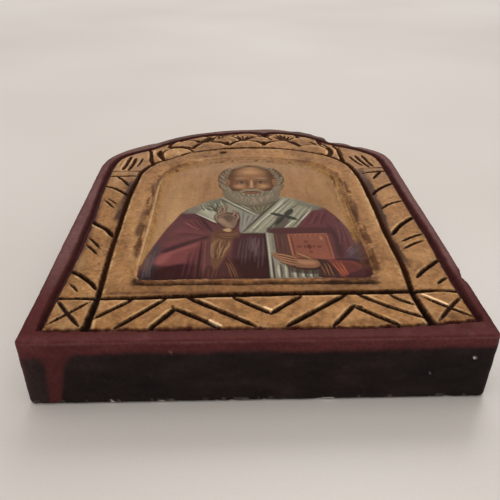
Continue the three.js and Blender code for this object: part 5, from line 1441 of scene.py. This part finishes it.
def paint_head(art):
    """The head at the place and size of the picture's, with a plain face of even proportions."""
    x, y = art.x, art.y
    wash, patch, brush, strands = art.wash, art.patch, art.brush, art.strands
    hx, hy = 0.6, 113.5
    head = (hx, hy)
    hair, lock, shadow = (98, 78, 58), (166, 148, 122), (54, 38, 28)
    for side in (-1, 1):
        patch(about(head, ((10, 18), (13, 15.4), (15.2, 10), (15.8, 4), (14.6, -2), (13, -6.6),
                           (10.4, -8), (9.4, 0), (9.8, 9), (8.4, 15)), side), hair, 1, 0.4)
    beard = patch(about(head, ((-12.4, -3), (-13.2, -9), (-12.2, -15.4), (-8.4, -21), (-3, -23.6),
                               (3, -23.8), (8.6, -21.2), (12, -15.6), (13, -9), (12.2, -3),
                               (7, -6.4), (-7, -6.4))), (112, 102, 84), 1, 0.4)
    for rank in range(6):
        many = 17 - 2 * rank
        for k in range(many):
            across = (k + 0.5) / many * 2 - 1
            jitter = draw(k, rank, 81)
            bx = hx + across * (11.6 - 0.32 * rank * rank) + 0.8 * (jitter - 0.5)
            by = hy - 7.6 - 2.75 * rank + 2.6 * across * across + 0.8 * jitter
            bend = 0.8 * (jitter - 0.5) + 0.5 * across
            curl = [(bx, by + 1.4), (bx + bend + 0.5, by), (bx + 0.4 * bend, by - 1.7)]
            brush([(px + 0.5, py - 0.2) for px, py in curl], 0.5, shadow, 0.5, beard, 0.35)
            brush(curl, 0.4, lock if jitter > 0.5 else (132, 118, 96), 0.6, beard, 0.3)
    wash(beard * ramp(0.62, 1.0, np.hypot((x - hx) / 13, (y - hy + 8) / 16.5)) * 0.55, shadow)
    wash(beard * 0.25, (164, 148, 124))
    patch(about(head, [(-10, -19.6), (0, -24), (10, -19.6), (6, -22.6), (0, -24.4), (-6, -22.6)]),
          shadow, 0.5, 0.9)
    face = patch(about(head, ((-10.8, 3), (-10.4, -4), (-8.2, -9.2), (-4, -12), (0, -12.8),
                              (4, -12), (8.2, -9.2), (10.4, -4), (10.8, 3), (10.6, 10), (8.4, 17),
                              (4, 20.6), (0, 21.4), (-4, 20.6), (-8.4, 17), (-10.6, 10))),
                 (132, 92, 64), 1, 0.4)
    round_shade = np.hypot((x - hx) / 11.2, (y - hy - 3.6) / 18.4)
    wash(face * ramp(0.58, 1.02, round_shade) * 0.85, (66, 42, 30))
    glow, deep = (190, 146, 106), (74, 46, 32)

    def soft_spot(cx, cy, reach_x, reach_y, strength, shade):
        wash(face * np.exp(-((x - hx - cx) / reach_x) ** 2 - ((y - hy - cy) / reach_y) ** 2)
             * strength, shade)

    soft_spot(0, 13, 5.4, 3.8, 0.75, glow)
    soft_spot(0, 17.6, 3.6, 1.6, 0.4, glow)
    for side in (-1, 1):
        soft_spot(side * 5.8, -3.8, 2.4, 1.9, 0.7, glow)
        soft_spot(side * 8.6, 6.4, 2.2, 4.6, 0.5, deep)
        soft_spot(side * 7.4, -8.2, 2.2, 2.6, 0.5, deep)
        soft_spot(side * 4.5, 1.0, 3.0, 1.7, 0.75, deep)
        soft_spot(side * 4.6, 5.6, 3.0, 0.9, 0.45, glow)
        soft_spot(side * 1.8, -1.4, 0.7, 3.4, 0.6, deep)
        eye = (hx + side * 4.5, hy + 0.7)
        patch(about(eye, [(-1.9, 0), (0, 0.8), (1.9, 0), (0, -0.65)]), (160, 134, 108), 0.75, 0.2)
        wash(ramp(0.85, 0.6, np.hypot(x - eye[0], y - eye[1] - 0.08)) * 0.95, (30, 20, 16))
        brush(about(eye, [(-2.2, -0.1), (0, 1.0), (2.2, -0.1)]), 0.26, (38, 24, 20), 0.95)
        brush(about(eye, [(-1.9, -0.7), (0, -1.2), (1.9, -0.7)]), 0.16, (84, 54, 38), 0.8)
        brush(about(eye, [(-2, -1.7), (0, -2.2), (2, -1.6)]), 0.22, glow, 0.5)
        brush(about(head, [(2.0, 3.3), (4.8, 4.4), (8, 3.0)], side), 0.5, (60, 44, 34), 0.9)
        strands(about(head, [(2.2, 3.6), (5, 4.8), (7.6, 3.6)], side),
                about(head, [(2.2, 3.2), (5, 4.2), (7.8, 3)], side), 2, 0.16, (lock,), 0.5, None,
                67 + side)
        patch(about(head, ((10.2, 3.6), (12, 3.2), (12.3, 0), (11.2, -2.8), (10.2, -1.8)), side),
              (138, 96, 68), 0.95, 0.3)
        brush(about(head, [(10.9, 2.6), (11.6, 0.6), (10.9, -1.6)], side), 0.24, deep, 0.8)
    brush(about(head, [(0.1, 3.6), (0.15, -1), (0.05, -4.4)]), 0.55, glow, 0.9, None, 0.3)
    wash(np.exp(-((x - hx) / 1.2) ** 2 - ((y - hy + 4.6) / 0.9) ** 2) * 0.6, glow)
    brush(about(head, [(-2.1, -4.9), (-1, -5.7), (0, -5.9), (1, -5.7), (2.1, -4.9)]), 0.3,
          (48, 28, 22), 0.95)
    for side in (-1, 1):
        patch(about(head, [(0, -6.6), (2.6, -6.8), (6, -9.4), (6.6, -11.6), (3, -9.4), (0, -8.2)],
                    side), (128, 118, 98), 1, 0.3)
        strands(about(head, [(0.4, -6.9), (3, -7.4), (6.4, -11)], side),
                about(head, [(0.4, -8.1), (3, -9), (5.6, -11.6)], side), 4, 0.24, (lock, shadow),
                0.8, None, 71 + side)
    chin = patch(about(head, [(-8, -8.6), (-4.6, -10.2), (-2.2, -11.7), (0, -12), (2.2, -11.7),
                              (4.6, -10.2), (8, -8.6), (7, -13), (0, -15.4), (-7, -13)]),
                 (116, 106, 88), 1, 0.4)
    strands(about(head, [(-6.6, -10), (-6, -12), (-5, -14.4)]),
            about(head, [(6.6, -10), (6, -12), (5, -14.4)]), 17, 0.34,
            (lock, shadow, (132, 118, 96)), 0.6, chin, 73, 0.3)
    brush(about(head, [(-2.6, -9.2), (0, -9.6), (2.6, -9.2)]), 0.42, (84, 40, 32), 0.95)
    brush(about(head, [(-2.0, -10.5), (0, -10.9), (2.0, -10.5)]), 0.36, (146, 96, 72), 0.7)
    for line_y, half in ((9.6, 4.8), (12.0, 5.4), (14.4, 4.8)):
        brush([(hx - half, hy + line_y - 0.5), (hx, hy + line_y), (hx + half, hy + line_y - 0.5)],
              0.18, deep, 0.5, face)
    strands(about(head, [(-5, 11), (0, 11.6), (5, 11)]),
            about(head, [(-4.6, 13.6), (0, 14.2), (4.6, 13.6)]), 3, 0.2, (glow,), 0.45, face, 75)
    # Locks of the side hair, one behind another
    for side in (-1, 1):
        for k in range(24):
            jitter, turned = draw(k, side + 5, 83), draw(k, side + 5, 85)
            rise = (k + 0.8 * jitter) / 24
            out = (11.4 + 2.9 * math.sin(math.pi * (0.15 + 0.8 * rise)) * (0.3 + 0.75 * turned)
                   - 2.2 * rise ** 3)
            lx, ly = hx + side * out, hy - 7 + 24 * rise
            size = 0.8 + 0.5 * jitter
            curl = [(lx - side * size * 1.2, ly + size * 0.9),
                    (lx + side * size * 0.4, ly + size * 1.1), (lx + side * size, ly),
                    (lx + side * size * 0.3, ly - size), (lx - side * size * 0.6, ly - size * 0.5)]
            brush([(px + side * 0.35, py - 0.35) for px, py in curl], 0.5, shadow, 0.65, None, 0.3)
            brush(curl, 0.32, lock, 0.65, None, 0.25)
    for side in (-1, 1):
        strands(about(head, [(9.8, 16.2), (5, 20.8), (0, 22)], side),
                about(head, [(8.6, 15.6), (4.4, 19.8), (0, 20.9)], side), 4, 0.26, (shadow, lock),
                0.7, None, 78 + side)


def paint_varnish(art, robe, panel):
    """Old varnish, worn and dirty at the panel's slope."""
    x, y, tone, fleck, streak = art.x, art.y, art.tone, art.fleck, art.streak
    wash = art.wash
    wash(unit(0.5 + tone) * 0.1, (96, 66, 42))
    rim_tone = ramp(4.2, 2.6, panel + 0.4 * fleck)
    bevel = lay(plain((164, 122, 78), len(x)), (104, 70, 42),
                unit(0.25 + 0.9 * streak + 0.5 * fleck + 0.2 * ramp(-10, 30, x)) * 0.75)
    art.rgb = lay(art.rgb, bevel, rim_tone * ramp(36, 40, y) * (1 - 0.85 * robe * ramp(62, 54, y))
                  * (1 - 0.75 * ramp(124, 138, y)))
    wash(bell(panel - 2.6 - 0.5 * fleck, 0.5) * ramp(60, 90, y) * unit(0.3 + streak) * 0.6,
         (212, 172, 122))
    worn = (unit(0.1 + 1.1 * fleck + 0.8 * streak)
            * ramp(-0.1, 0.5, noise((x, y), 9.0, 311) + 0.2 * (x > 0)))
    wash(bell(panel - 1.5 - 0.9 * tone, 0.5) * ramp(50, 70, y) * worn * 0.85, (60, 36, 22))
    wash(spot(x, y, -33, 139, 6, 3) * 0.4 + spot(x, y, 32, 140, 6, 4) * 0.45, (96, 66, 42))
    smear = spot(x, y, 43, 43, 3, 6)
    wash(smear * (0.7 + 0.6 * fleck), (52, 28, 26))
    wash(bell(y - 33.4, 1.0) * (0.4 + 0.4 * fleck), (40, 22, 20))


def picture(x, y, panel):
    """Colours of the half-length picture of a blessing bishop."""
    art = Painting(*seen(x, y, SHEET_TOP))
    paint_ground(art)
    robe = paint_robe(art)
    paint_stole(art, robe)
    paint_book(art)
    paint_hands(art)
    paint_head(art)
    paint_varnish(art, robe, panel)
    return art.rgb


def drawn_in(loop, inset):
    """A closed line drawn in by inset."""
    return loop - outline_normals(loop) * inset


def sheet_mesh():
    loop = drawn_in(PANEL_EDGE, SHEET_INSET)
    xs = np.arange(-43.5, 43.5, SHEET_STEPS[0])
    ys = np.arange(33.0, 147.5, SHEET_STEPS[1])
    x, y = (a.ravel() for a in np.meshgrid(xs, ys))
    keep = depth_in(x, y, loop, 1.0) > 0.22
    xy, faces = plate(loop, np.column_stack([x[keep], y[keep]]), [])
    x, y = xy.T
    panel = depth_in(x, y, PANEL_EDGE, 12.0)
    count = len(loop)
    panel[:count] = SHEET_INSET
    top = sheet_height(panel) + 0.02 * clouds((x, y), 9.0, 351, 2)
    total = len(xy)
    top[:count] -= 0.1
    under = total + np.arange(total)
    z = np.concatenate([top, top - SHEET_THICKNESS + 0.1 * (np.arange(total) < count)])
    ring = np.arange(count)
    after = np.roll(ring, -1)
    sides = np.vstack([np.column_stack([ring, under[ring], under[after]]),
                       np.column_stack([ring, under[after], after])])
    triangles = np.vstack([faces, under[faces][:, ::-1], sides])
    thing = mesh_object("painted_sheet", row(np.tile(x, 2), np.tile(y, 2), z), triangles)
    rgb = picture(x, y, panel)
    paper = plain((150, 128, 98), total)
    add_values(thing.data, "paint", np.vstack([rgb, paper]), "COLOR")
    return thing


sheet = sheet_mesh()


# Materials

def material(name):
    made = bpy.data.materials.new(name)
    made.use_nodes = True
    return made, made.node_tree, made.node_tree.nodes["Principled BSDF"]


def node(tree, kind, **values):
    made = tree.nodes.new(kind)
    for key, value in values.items():
        if key in made.inputs:
            made.inputs[key].default_value = value
        else:
            setattr(made, key, value)
    return made


def stored(tree, name, output="Fac"):
    """A value or colour that the mesh holds for each point."""
    return node(tree, "ShaderNodeAttribute", attribute_name=name).outputs[output]


def grain_of(tree, scale, detail, stretch=(1, 1, 1)):
    """Noise over the object's own coordinates."""
    place = node(tree, "ShaderNodeTexCoord")
    fit = node(tree, "ShaderNodeMapping")
    fit.inputs["Scale"].default_value = stretch
    fine = node(tree, "ShaderNodeTexNoise", Scale=scale, Detail=detail)
    tree.links.new(place.outputs["Object"], fit.inputs["Vector"])
    tree.links.new(fit.outputs["Vector"], fine.inputs["Vector"])
    return fine.outputs["Fac"]


def arithmetic(tree, operation, a, b):
    made = node(tree, "ShaderNodeMath", operation=operation)
    for socket, value in zip(made.inputs, (a, b)):
        if isinstance(value, (int, float)):
            socket.default_value = value
        else:
            tree.links.new(value, socket)
    return made.outputs[0]


def product_plus(tree, value, by, plus):
    return arithmetic(tree, "ADD", arithmetic(tree, "MULTIPLY", value, by), plus)


def scaled(tree, base, share):
    """A colour made darker or lighter by a share."""
    made = node(tree, "ShaderNodeVectorMath", operation="SCALE")
    tree.links.new(base, made.inputs[0])
    tree.links.new(share, made.inputs["Scale"])
    return made.outputs[0]


def varied(tree, base, fac, low, high):
    """A colour made darker and lighter by noise."""
    spread = node(tree, "ShaderNodeMapRange")
    for socket, value in (("To Min", low), ("To Max", high), ("From Min", 0.3), ("From Max", 0.7)):
        spread.inputs[socket].default_value = value
    tree.links.new(fac, spread.inputs["Value"])
    return scaled(tree, base, spread.outputs["Result"])


def two_tones(tree, fac, dark, light):
    """A colour between two, each given with the value at which it is reached."""
    tones = node(tree, "ShaderNodeValToRGB")
    for element, (position, shade) in zip(tones.color_ramp.elements, (dark, light)):
        element.position = position
        element.color = (*colour(*shade), 1)
    tree.links.new(fac, tones.inputs["Fac"])
    return tones.outputs["Color"]


def bump(tree, shader, height, strength, distance):
    made = node(tree, "ShaderNodeBump", Strength=strength, Distance=distance)
    tree.links.new(height, made.inputs["Height"])
    tree.links.new(made.outputs["Normal"], shader.inputs["Normal"])


def painted_board():
    made, tree, shader = material("gilded_paint")
    shader.inputs["Specular IOR Level"].default_value = 0.06
    coarse = grain_of(tree, 900, 5)
    fine = grain_of(tree, 3200, 3)
    mixed = product_plus(tree, coarse, 0.6, arithmetic(tree, "MULTIPLY", fine, 0.4))
    tinted = varied(tree, stored(tree, "paint", "Color"), mixed, 0.7, 1.3)
    fibres = arithmetic(tree, "SUBTRACT", grain_of(tree, 420, 6, (1, 0.04, 1)), 0.5)
    fibres = arithmetic(tree, "MULTIPLY", fibres, stored(tree, "bare"))
    tinted = scaled(tree, tinted, product_plus(tree, fibres, 2.4, 1.0))
    metallic = arithmetic(tree, "MULTIPLY", stored(tree, "leaf"), 0.35)
    uneven = arithmetic(tree, "MULTIPLY", arithmetic(tree, "SUBTRACT", coarse, 0.5), 0.3)
    roughness = arithmetic(tree, "ADD", stored(tree, "gloss"), uneven)
    for socket, value in (("Base Color", tinted), ("Metallic", metallic), ("Roughness", roughness)):
        tree.links.new(value, shader.inputs[socket])
    bump(tree, shader, mixed, 0.5, 0.00025)
    return made


def varnished_sheet():
    made, tree, shader = material("varnished_print")
    shader.inputs["Specular IOR Level"].default_value = 0.02
    coarse = grain_of(tree, 700, 4)
    tinted = varied(tree, stored(tree, "paint", "Color"), coarse, 0.9, 1.1)
    tree.links.new(tinted, shader.inputs["Base Color"])
    tree.links.new(product_plus(tree, coarse, 0.2, 0.36), shader.inputs["Roughness"])
    bump(tree, shader, coarse, 0.25, 0.0001)
    return made


def wood():
    made, tree, shader = material("batten_timber")
    long = grain_of(tree, 420, 6, (0.05, 1, 1))
    fine = grain_of(tree, 2600, 3, (0.04, 1, 1))
    mixed = product_plus(tree, long, 0.7, arithmetic(tree, "MULTIPLY", fine, 0.3))
    tinted = two_tones(tree, mixed, (0.32, (104, 74, 46)), (0.7, (168, 130, 86)))
    tree.links.new(tinted, shader.inputs["Base Color"])
    tree.links.new(product_plus(tree, long, 0.25, 0.55), shader.inputs["Roughness"])
    bump(tree, shader, fine, 0.35, 0.0002)
    return made


def metal(name, bright, dull, smooth):
    made, tree, shader = material(name)
    fine = grain_of(tree, 2400, 3)
    tinted = two_tones(tree, grain_of(tree, 260, 5), (0.36, dull), (0.62, bright))
    tree.links.new(tinted, shader.inputs["Base Color"])
    shader.inputs["Metallic"].default_value = 1.0
    tree.links.new(product_plus(tree, fine, 0.3, smooth), shader.inputs["Roughness"])
    bump(tree, shader, fine, 0.15, 0.00005)
    return made


def table_top():
    made, tree, shader = material("table_top")
    broad = grain_of(tree, 3.2, 2)
    fine = grain_of(tree, 900, 3)
    tinted = two_tones(tree, broad, (0.3, (205, 197, 190)), (0.7, (219, 213, 207)))
    tree.links.new(varied(tree, tinted, fine, 0.985, 1.015), shader.inputs["Base Color"])
    shader.inputs["Roughness"].default_value = 0.34
    return made


def finish_with(thing, made):
    thing.data.materials.clear()
    thing.data.materials.append(made)


finish_with(board, painted_board())
finish_with(sheet, varnished_sheet())
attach(board, "board")
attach(sheet, "board")
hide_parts("stave_left", "stave_centre", "stave_right")
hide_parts("picture_sheet")

timber = wood()
for name in ("batten_lower", "batten_upper"):
    finish_with(nodes[name], timber)
    nodes[name].data.shade_flat()


# Ring hanger

BRASS = metal("aged_brass", (206, 172, 104), (132, 98, 54), 0.22)
STEEL = metal("screw_steel", (176, 172, 166), (116, 110, 104), 0.3)
PIVOT = 3.1
WIRE = 0.9
RING_WIDTH, RING_LENGTH, RING_CORNER = 12.4, 12.5, 1.5
REST_GAP = 0.1
STRAP_FOOT, STRAP_HALF, STRAP_SHEET = 143.5, 3.8, 0.385
STRAP_LAYERS = (4.6, 3.8)
HEAD_RADIUS, HEAD_HEIGHT, HEAD_SEAT = 2.1, 1.0, 3.4
SHANK_RADIUS, SHANK_LENGTH, POINT_LENGTH = 1.0, 7.5, 2.5
SLOT_HALF, SLOT_LENGTH_HALF = 0.24, 2.4


def ring_mesh():
    """The ring's wire: a straight bar, two bends and a round bow that rests on the table."""
    half, r = RING_WIDTH / 2 - WIRE, RING_CORNER
    bow = RING_LENGTH - half
    arc = np.linspace(0, np.pi, 31)
    line = np.vstack([
        [(0.0, 0.0)], [(half - r, 0.0)], corner_arc(half - r, r, r, 270), [(half, bow)],
        np.column_stack([half * np.cos(arc), bow + half * np.sin(arc)]),
        [(-half, r)], corner_arc(-half + r, r, r, 180)])
    line = spaced(line, 0.35, True)
    ahead = np.roll(line, -1, 0) - np.roll(line, 1, 0)
    ahead /= np.linalg.norm(ahead, axis=1)[:, None]
    sides = 20
    turn = np.linspace(0, 2 * np.pi, sides, endpoint=False)
    x = line[:, :1] + ahead[:, 1:] * WIRE * np.cos(turn)
    y = line[:, 1:] - ahead[:, :1] * WIRE * np.cos(turn)
    z = np.tile(WIRE * np.sin(turn), (len(line), 1))
    tilt = -math.asin((PIVOT - WIRE - REST_GAP) / RING_LENGTH)
    yy = y * math.cos(tilt) - z * math.sin(tilt)
    zz = y * math.sin(tilt) + z * math.cos(tilt)
    n = len(line)
    faces = []
    for k in range(n):
        for s in range(sides):
            a, b = k * sides + s, k * sides + (s + 1) % sides
            c, d = (k + 1) % n * sides + (s + 1) % sides, (k + 1) % n * sides + s
            faces.append((a, d, c, b))
    return mesh_object("hanger_wire", row(x.ravel(), yy.ravel() + AXIS, zz.ravel() + PIVOT), faces)


def strap_mesh():
    """The folded strap: a strip of sheet brass that runs along, round the bar and back."""
    turn = np.radians(np.linspace(90, -158, 32))
    eye = np.column_stack([AXIS + 1.5 * np.cos(turn), PIVOT + 1.5 * np.sin(turn)])
    high, low = STRAP_LAYERS
    line = np.vstack([[(STRAP_FOOT, high), (AXIS - 0.4, high)], eye,
                      [(AXIS - 2.6, low + 0.02), (STRAP_FOOT, low)]])
    ahead = np.gradient(line, axis=0)
    ahead /= np.linalg.norm(ahead, axis=1)[:, None]
    out = np.stack([-ahead[:, 1], ahead[:, 0]], -1) * STRAP_SHEET
    loop = np.vstack([line + out, (line - out)[::-1]])
    n = len(line)
    points, faces = [], []
    for side in (-STRAP_HALF, STRAP_HALF):
        points += [(side, p[0], p[1]) for p in loop]
    m = 2 * n
    for k in range(m):
        a, b = k, (k + 1) % m
        faces.append((a, b, m + b, m + a))
    for k in range(n - 1):
        a, b, c, d = k, k + 1, m - 2 - k, m - 1 - k
        faces.append((d, c, b, a))
        faces.append((m + a, m + b, m + c, m + d))
    x, y, z = np.array(points).T
    strap = mesh_object("hanger_strip", row(x, y, z), faces)
    cut_away(strap, [prism(circle(0, s, PILOT_RADIUS, 24), 2.0, 6.0) for s in SCREWS])
    strap.data.shade_flat()
    soft = strap.modifiers.new("edge", "BEVEL")
    soft.width = 0.12 * MM
    soft.segments = 2
    soft.limit_method = "ANGLE"
    soft.angle_limit = math.radians(50)
    return strap


def screw_mesh(name, at, turned):
    """A round-headed screw with its slot."""
    seat, point = HEAD_SEAT, HEAD_SEAT + SHANK_LENGTH
    profile = [(0.0, seat - HEAD_HEIGHT)]
    for t in np.radians(np.linspace(80, 0, 9)):
        profile.append((HEAD_RADIUS * math.cos(t), seat - 0.12 - 0.86 * math.sin(t)))
    profile += [(HEAD_RADIUS, seat), (SHANK_RADIUS, seat), (SHANK_RADIUS, point)]
    for k in range(7):
        profile.append((SHANK_RADIUS - 0.13 * k, point + POINT_LENGTH * k / 7))
    profile.append((0.0, point + POINT_LENGTH))
    sides = 28
    turn = np.linspace(0, 2 * np.pi, sides, endpoint=False)
    points, faces = [(0, 0, profile[0][1])], []
    for r, z in profile[1:-1]:
        points += [(r * math.cos(t), r * math.sin(t), z) for t in turn]
    points.append((0, 0, profile[-1][1]))
    rings = len(profile) - 2
    for s in range(sides):
        n = (s + 1) % sides
        faces.append((0, 1 + n, 1 + s))
        for k in range(rings - 1):
            a, b = 1 + k * sides + s, 1 + k * sides + n
            faces.append((a, b, b + sides, a + sides))
        a = 1 + (rings - 1) * sides
        faces.append((a + s, a + n, len(points) - 1))
    x, y, z = np.array(points).T
    screw = mesh_object(name, row(x, y + at, z), faces)
    c, s = math.cos(turned), math.sin(turned)
    long, wide = SLOT_LENGTH_HALF, SLOT_HALF
    slot = [(-long, -wide), (long, -wide), (long, wide), (-long, wide)]
    slot = [(px * c - py * s, px * s + py * c + at) for px, py in slot]
    cut_away(screw, [prism(slot, seat - 1.4, seat - 0.5)])
    screw.data.shade_smooth()
    screw.data.set_sharp_from_angle(angle=math.radians(35))
    return screw


ring = ring_mesh()
strap = strap_mesh()
screws = [screw_mesh("screw_head_low", SCREWS[0], 0.5),
          screw_mesh("screw_head_high", SCREWS[1], -0.9)]
for thing, body, cad, slot, finish in (
        (ring, "ring", "hanger_ring", "hanger_brass", BRASS),
        (strap, "board", "hanger_strap", "hanger_brass", BRASS),
        (screws[0], "board", "screw_lower", "screw_steel", STEEL),
        (screws[1], "board", "screw_upper", "screw_steel", STEEL)):
    finish_with(thing, finish)
    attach(thing, body)
    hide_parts(cad)


# Table, light and camera

TABLE_HALF = 3
table_corners = [(x * TABLE_HALF, y * TABLE_HALF, 0)
                 for x, y in ((-1, -1), (1, -1), (1, 1), (-1, 1))]
floor = mesh_object("table", table_corners, [(0, 1, 2, 3)])
floor.data.materials.append(table_top())

world = bpy.data.worlds.new("room")
bpy.context.scene.world = world
world.use_nodes = True
sky = world.node_tree.nodes["Background"]
sky.inputs["Color"].default_value = (0.90, 0.88, 0.85, 1)
sky.inputs["Strength"].default_value = 0.62


def lamp(name, place, size, power, tint):
    """A soft lamp that points at the middle of the board's back."""
    light = bpy.data.lights.new(name, "AREA")
    light.shape = "RECTANGLE"
    light.size, light.size_y = size
    light.energy = power
    light.color = tint
    thing = bpy.data.objects.new(name, light)
    bpy.context.scene.collection.objects.link(thing)
    thing.location = place
    thing.rotation_euler = (-Vector(place)).to_track_quat("-Z", "Y").to_euler()


lamp("window", (0.3, 1.5, 1.5), (1.6, 1.2), 16, (1.0, 0.98, 0.95))
lamp("ceiling", (-0.4, -0.2, 1.8), (1.4, 1.4), 9, (1.0, 0.97, 0.94))

# The camera as it was fitted to the photograph
LENS = 40.32
STAND = (-0.00789, -0.2253, 0.1382)
PITCH, YAW, ROLL = math.radians(31.52), math.radians(1.91), math.radians(0.38)
ahead = Vector((math.sin(YAW) * math.cos(PITCH), math.cos(YAW) * math.cos(PITCH), -math.sin(PITCH)))
right = Vector((math.cos(YAW), -math.sin(YAW), 0))
up = right.cross(ahead)
right, up = (right * math.cos(ROLL) + up * math.sin(ROLL),
             up * math.cos(ROLL) - right * math.sin(ROLL))
camera_data = bpy.data.cameras.new("camera")
camera_data.sensor_width = 36
camera_data.lens = LENS
camera_data.clip_start = 0.01
camera = bpy.data.objects.new("camera", camera_data)
bpy.context.scene.collection.objects.link(camera)
turned = Matrix((right, up, -ahead)).transposed().to_4x4()
camera.matrix_world = Matrix.Translation(Vector(STAND)) @ turned
bpy.context.scene.camera = camera
bpy.context.scene.view_settings.view_transform = "Standard"
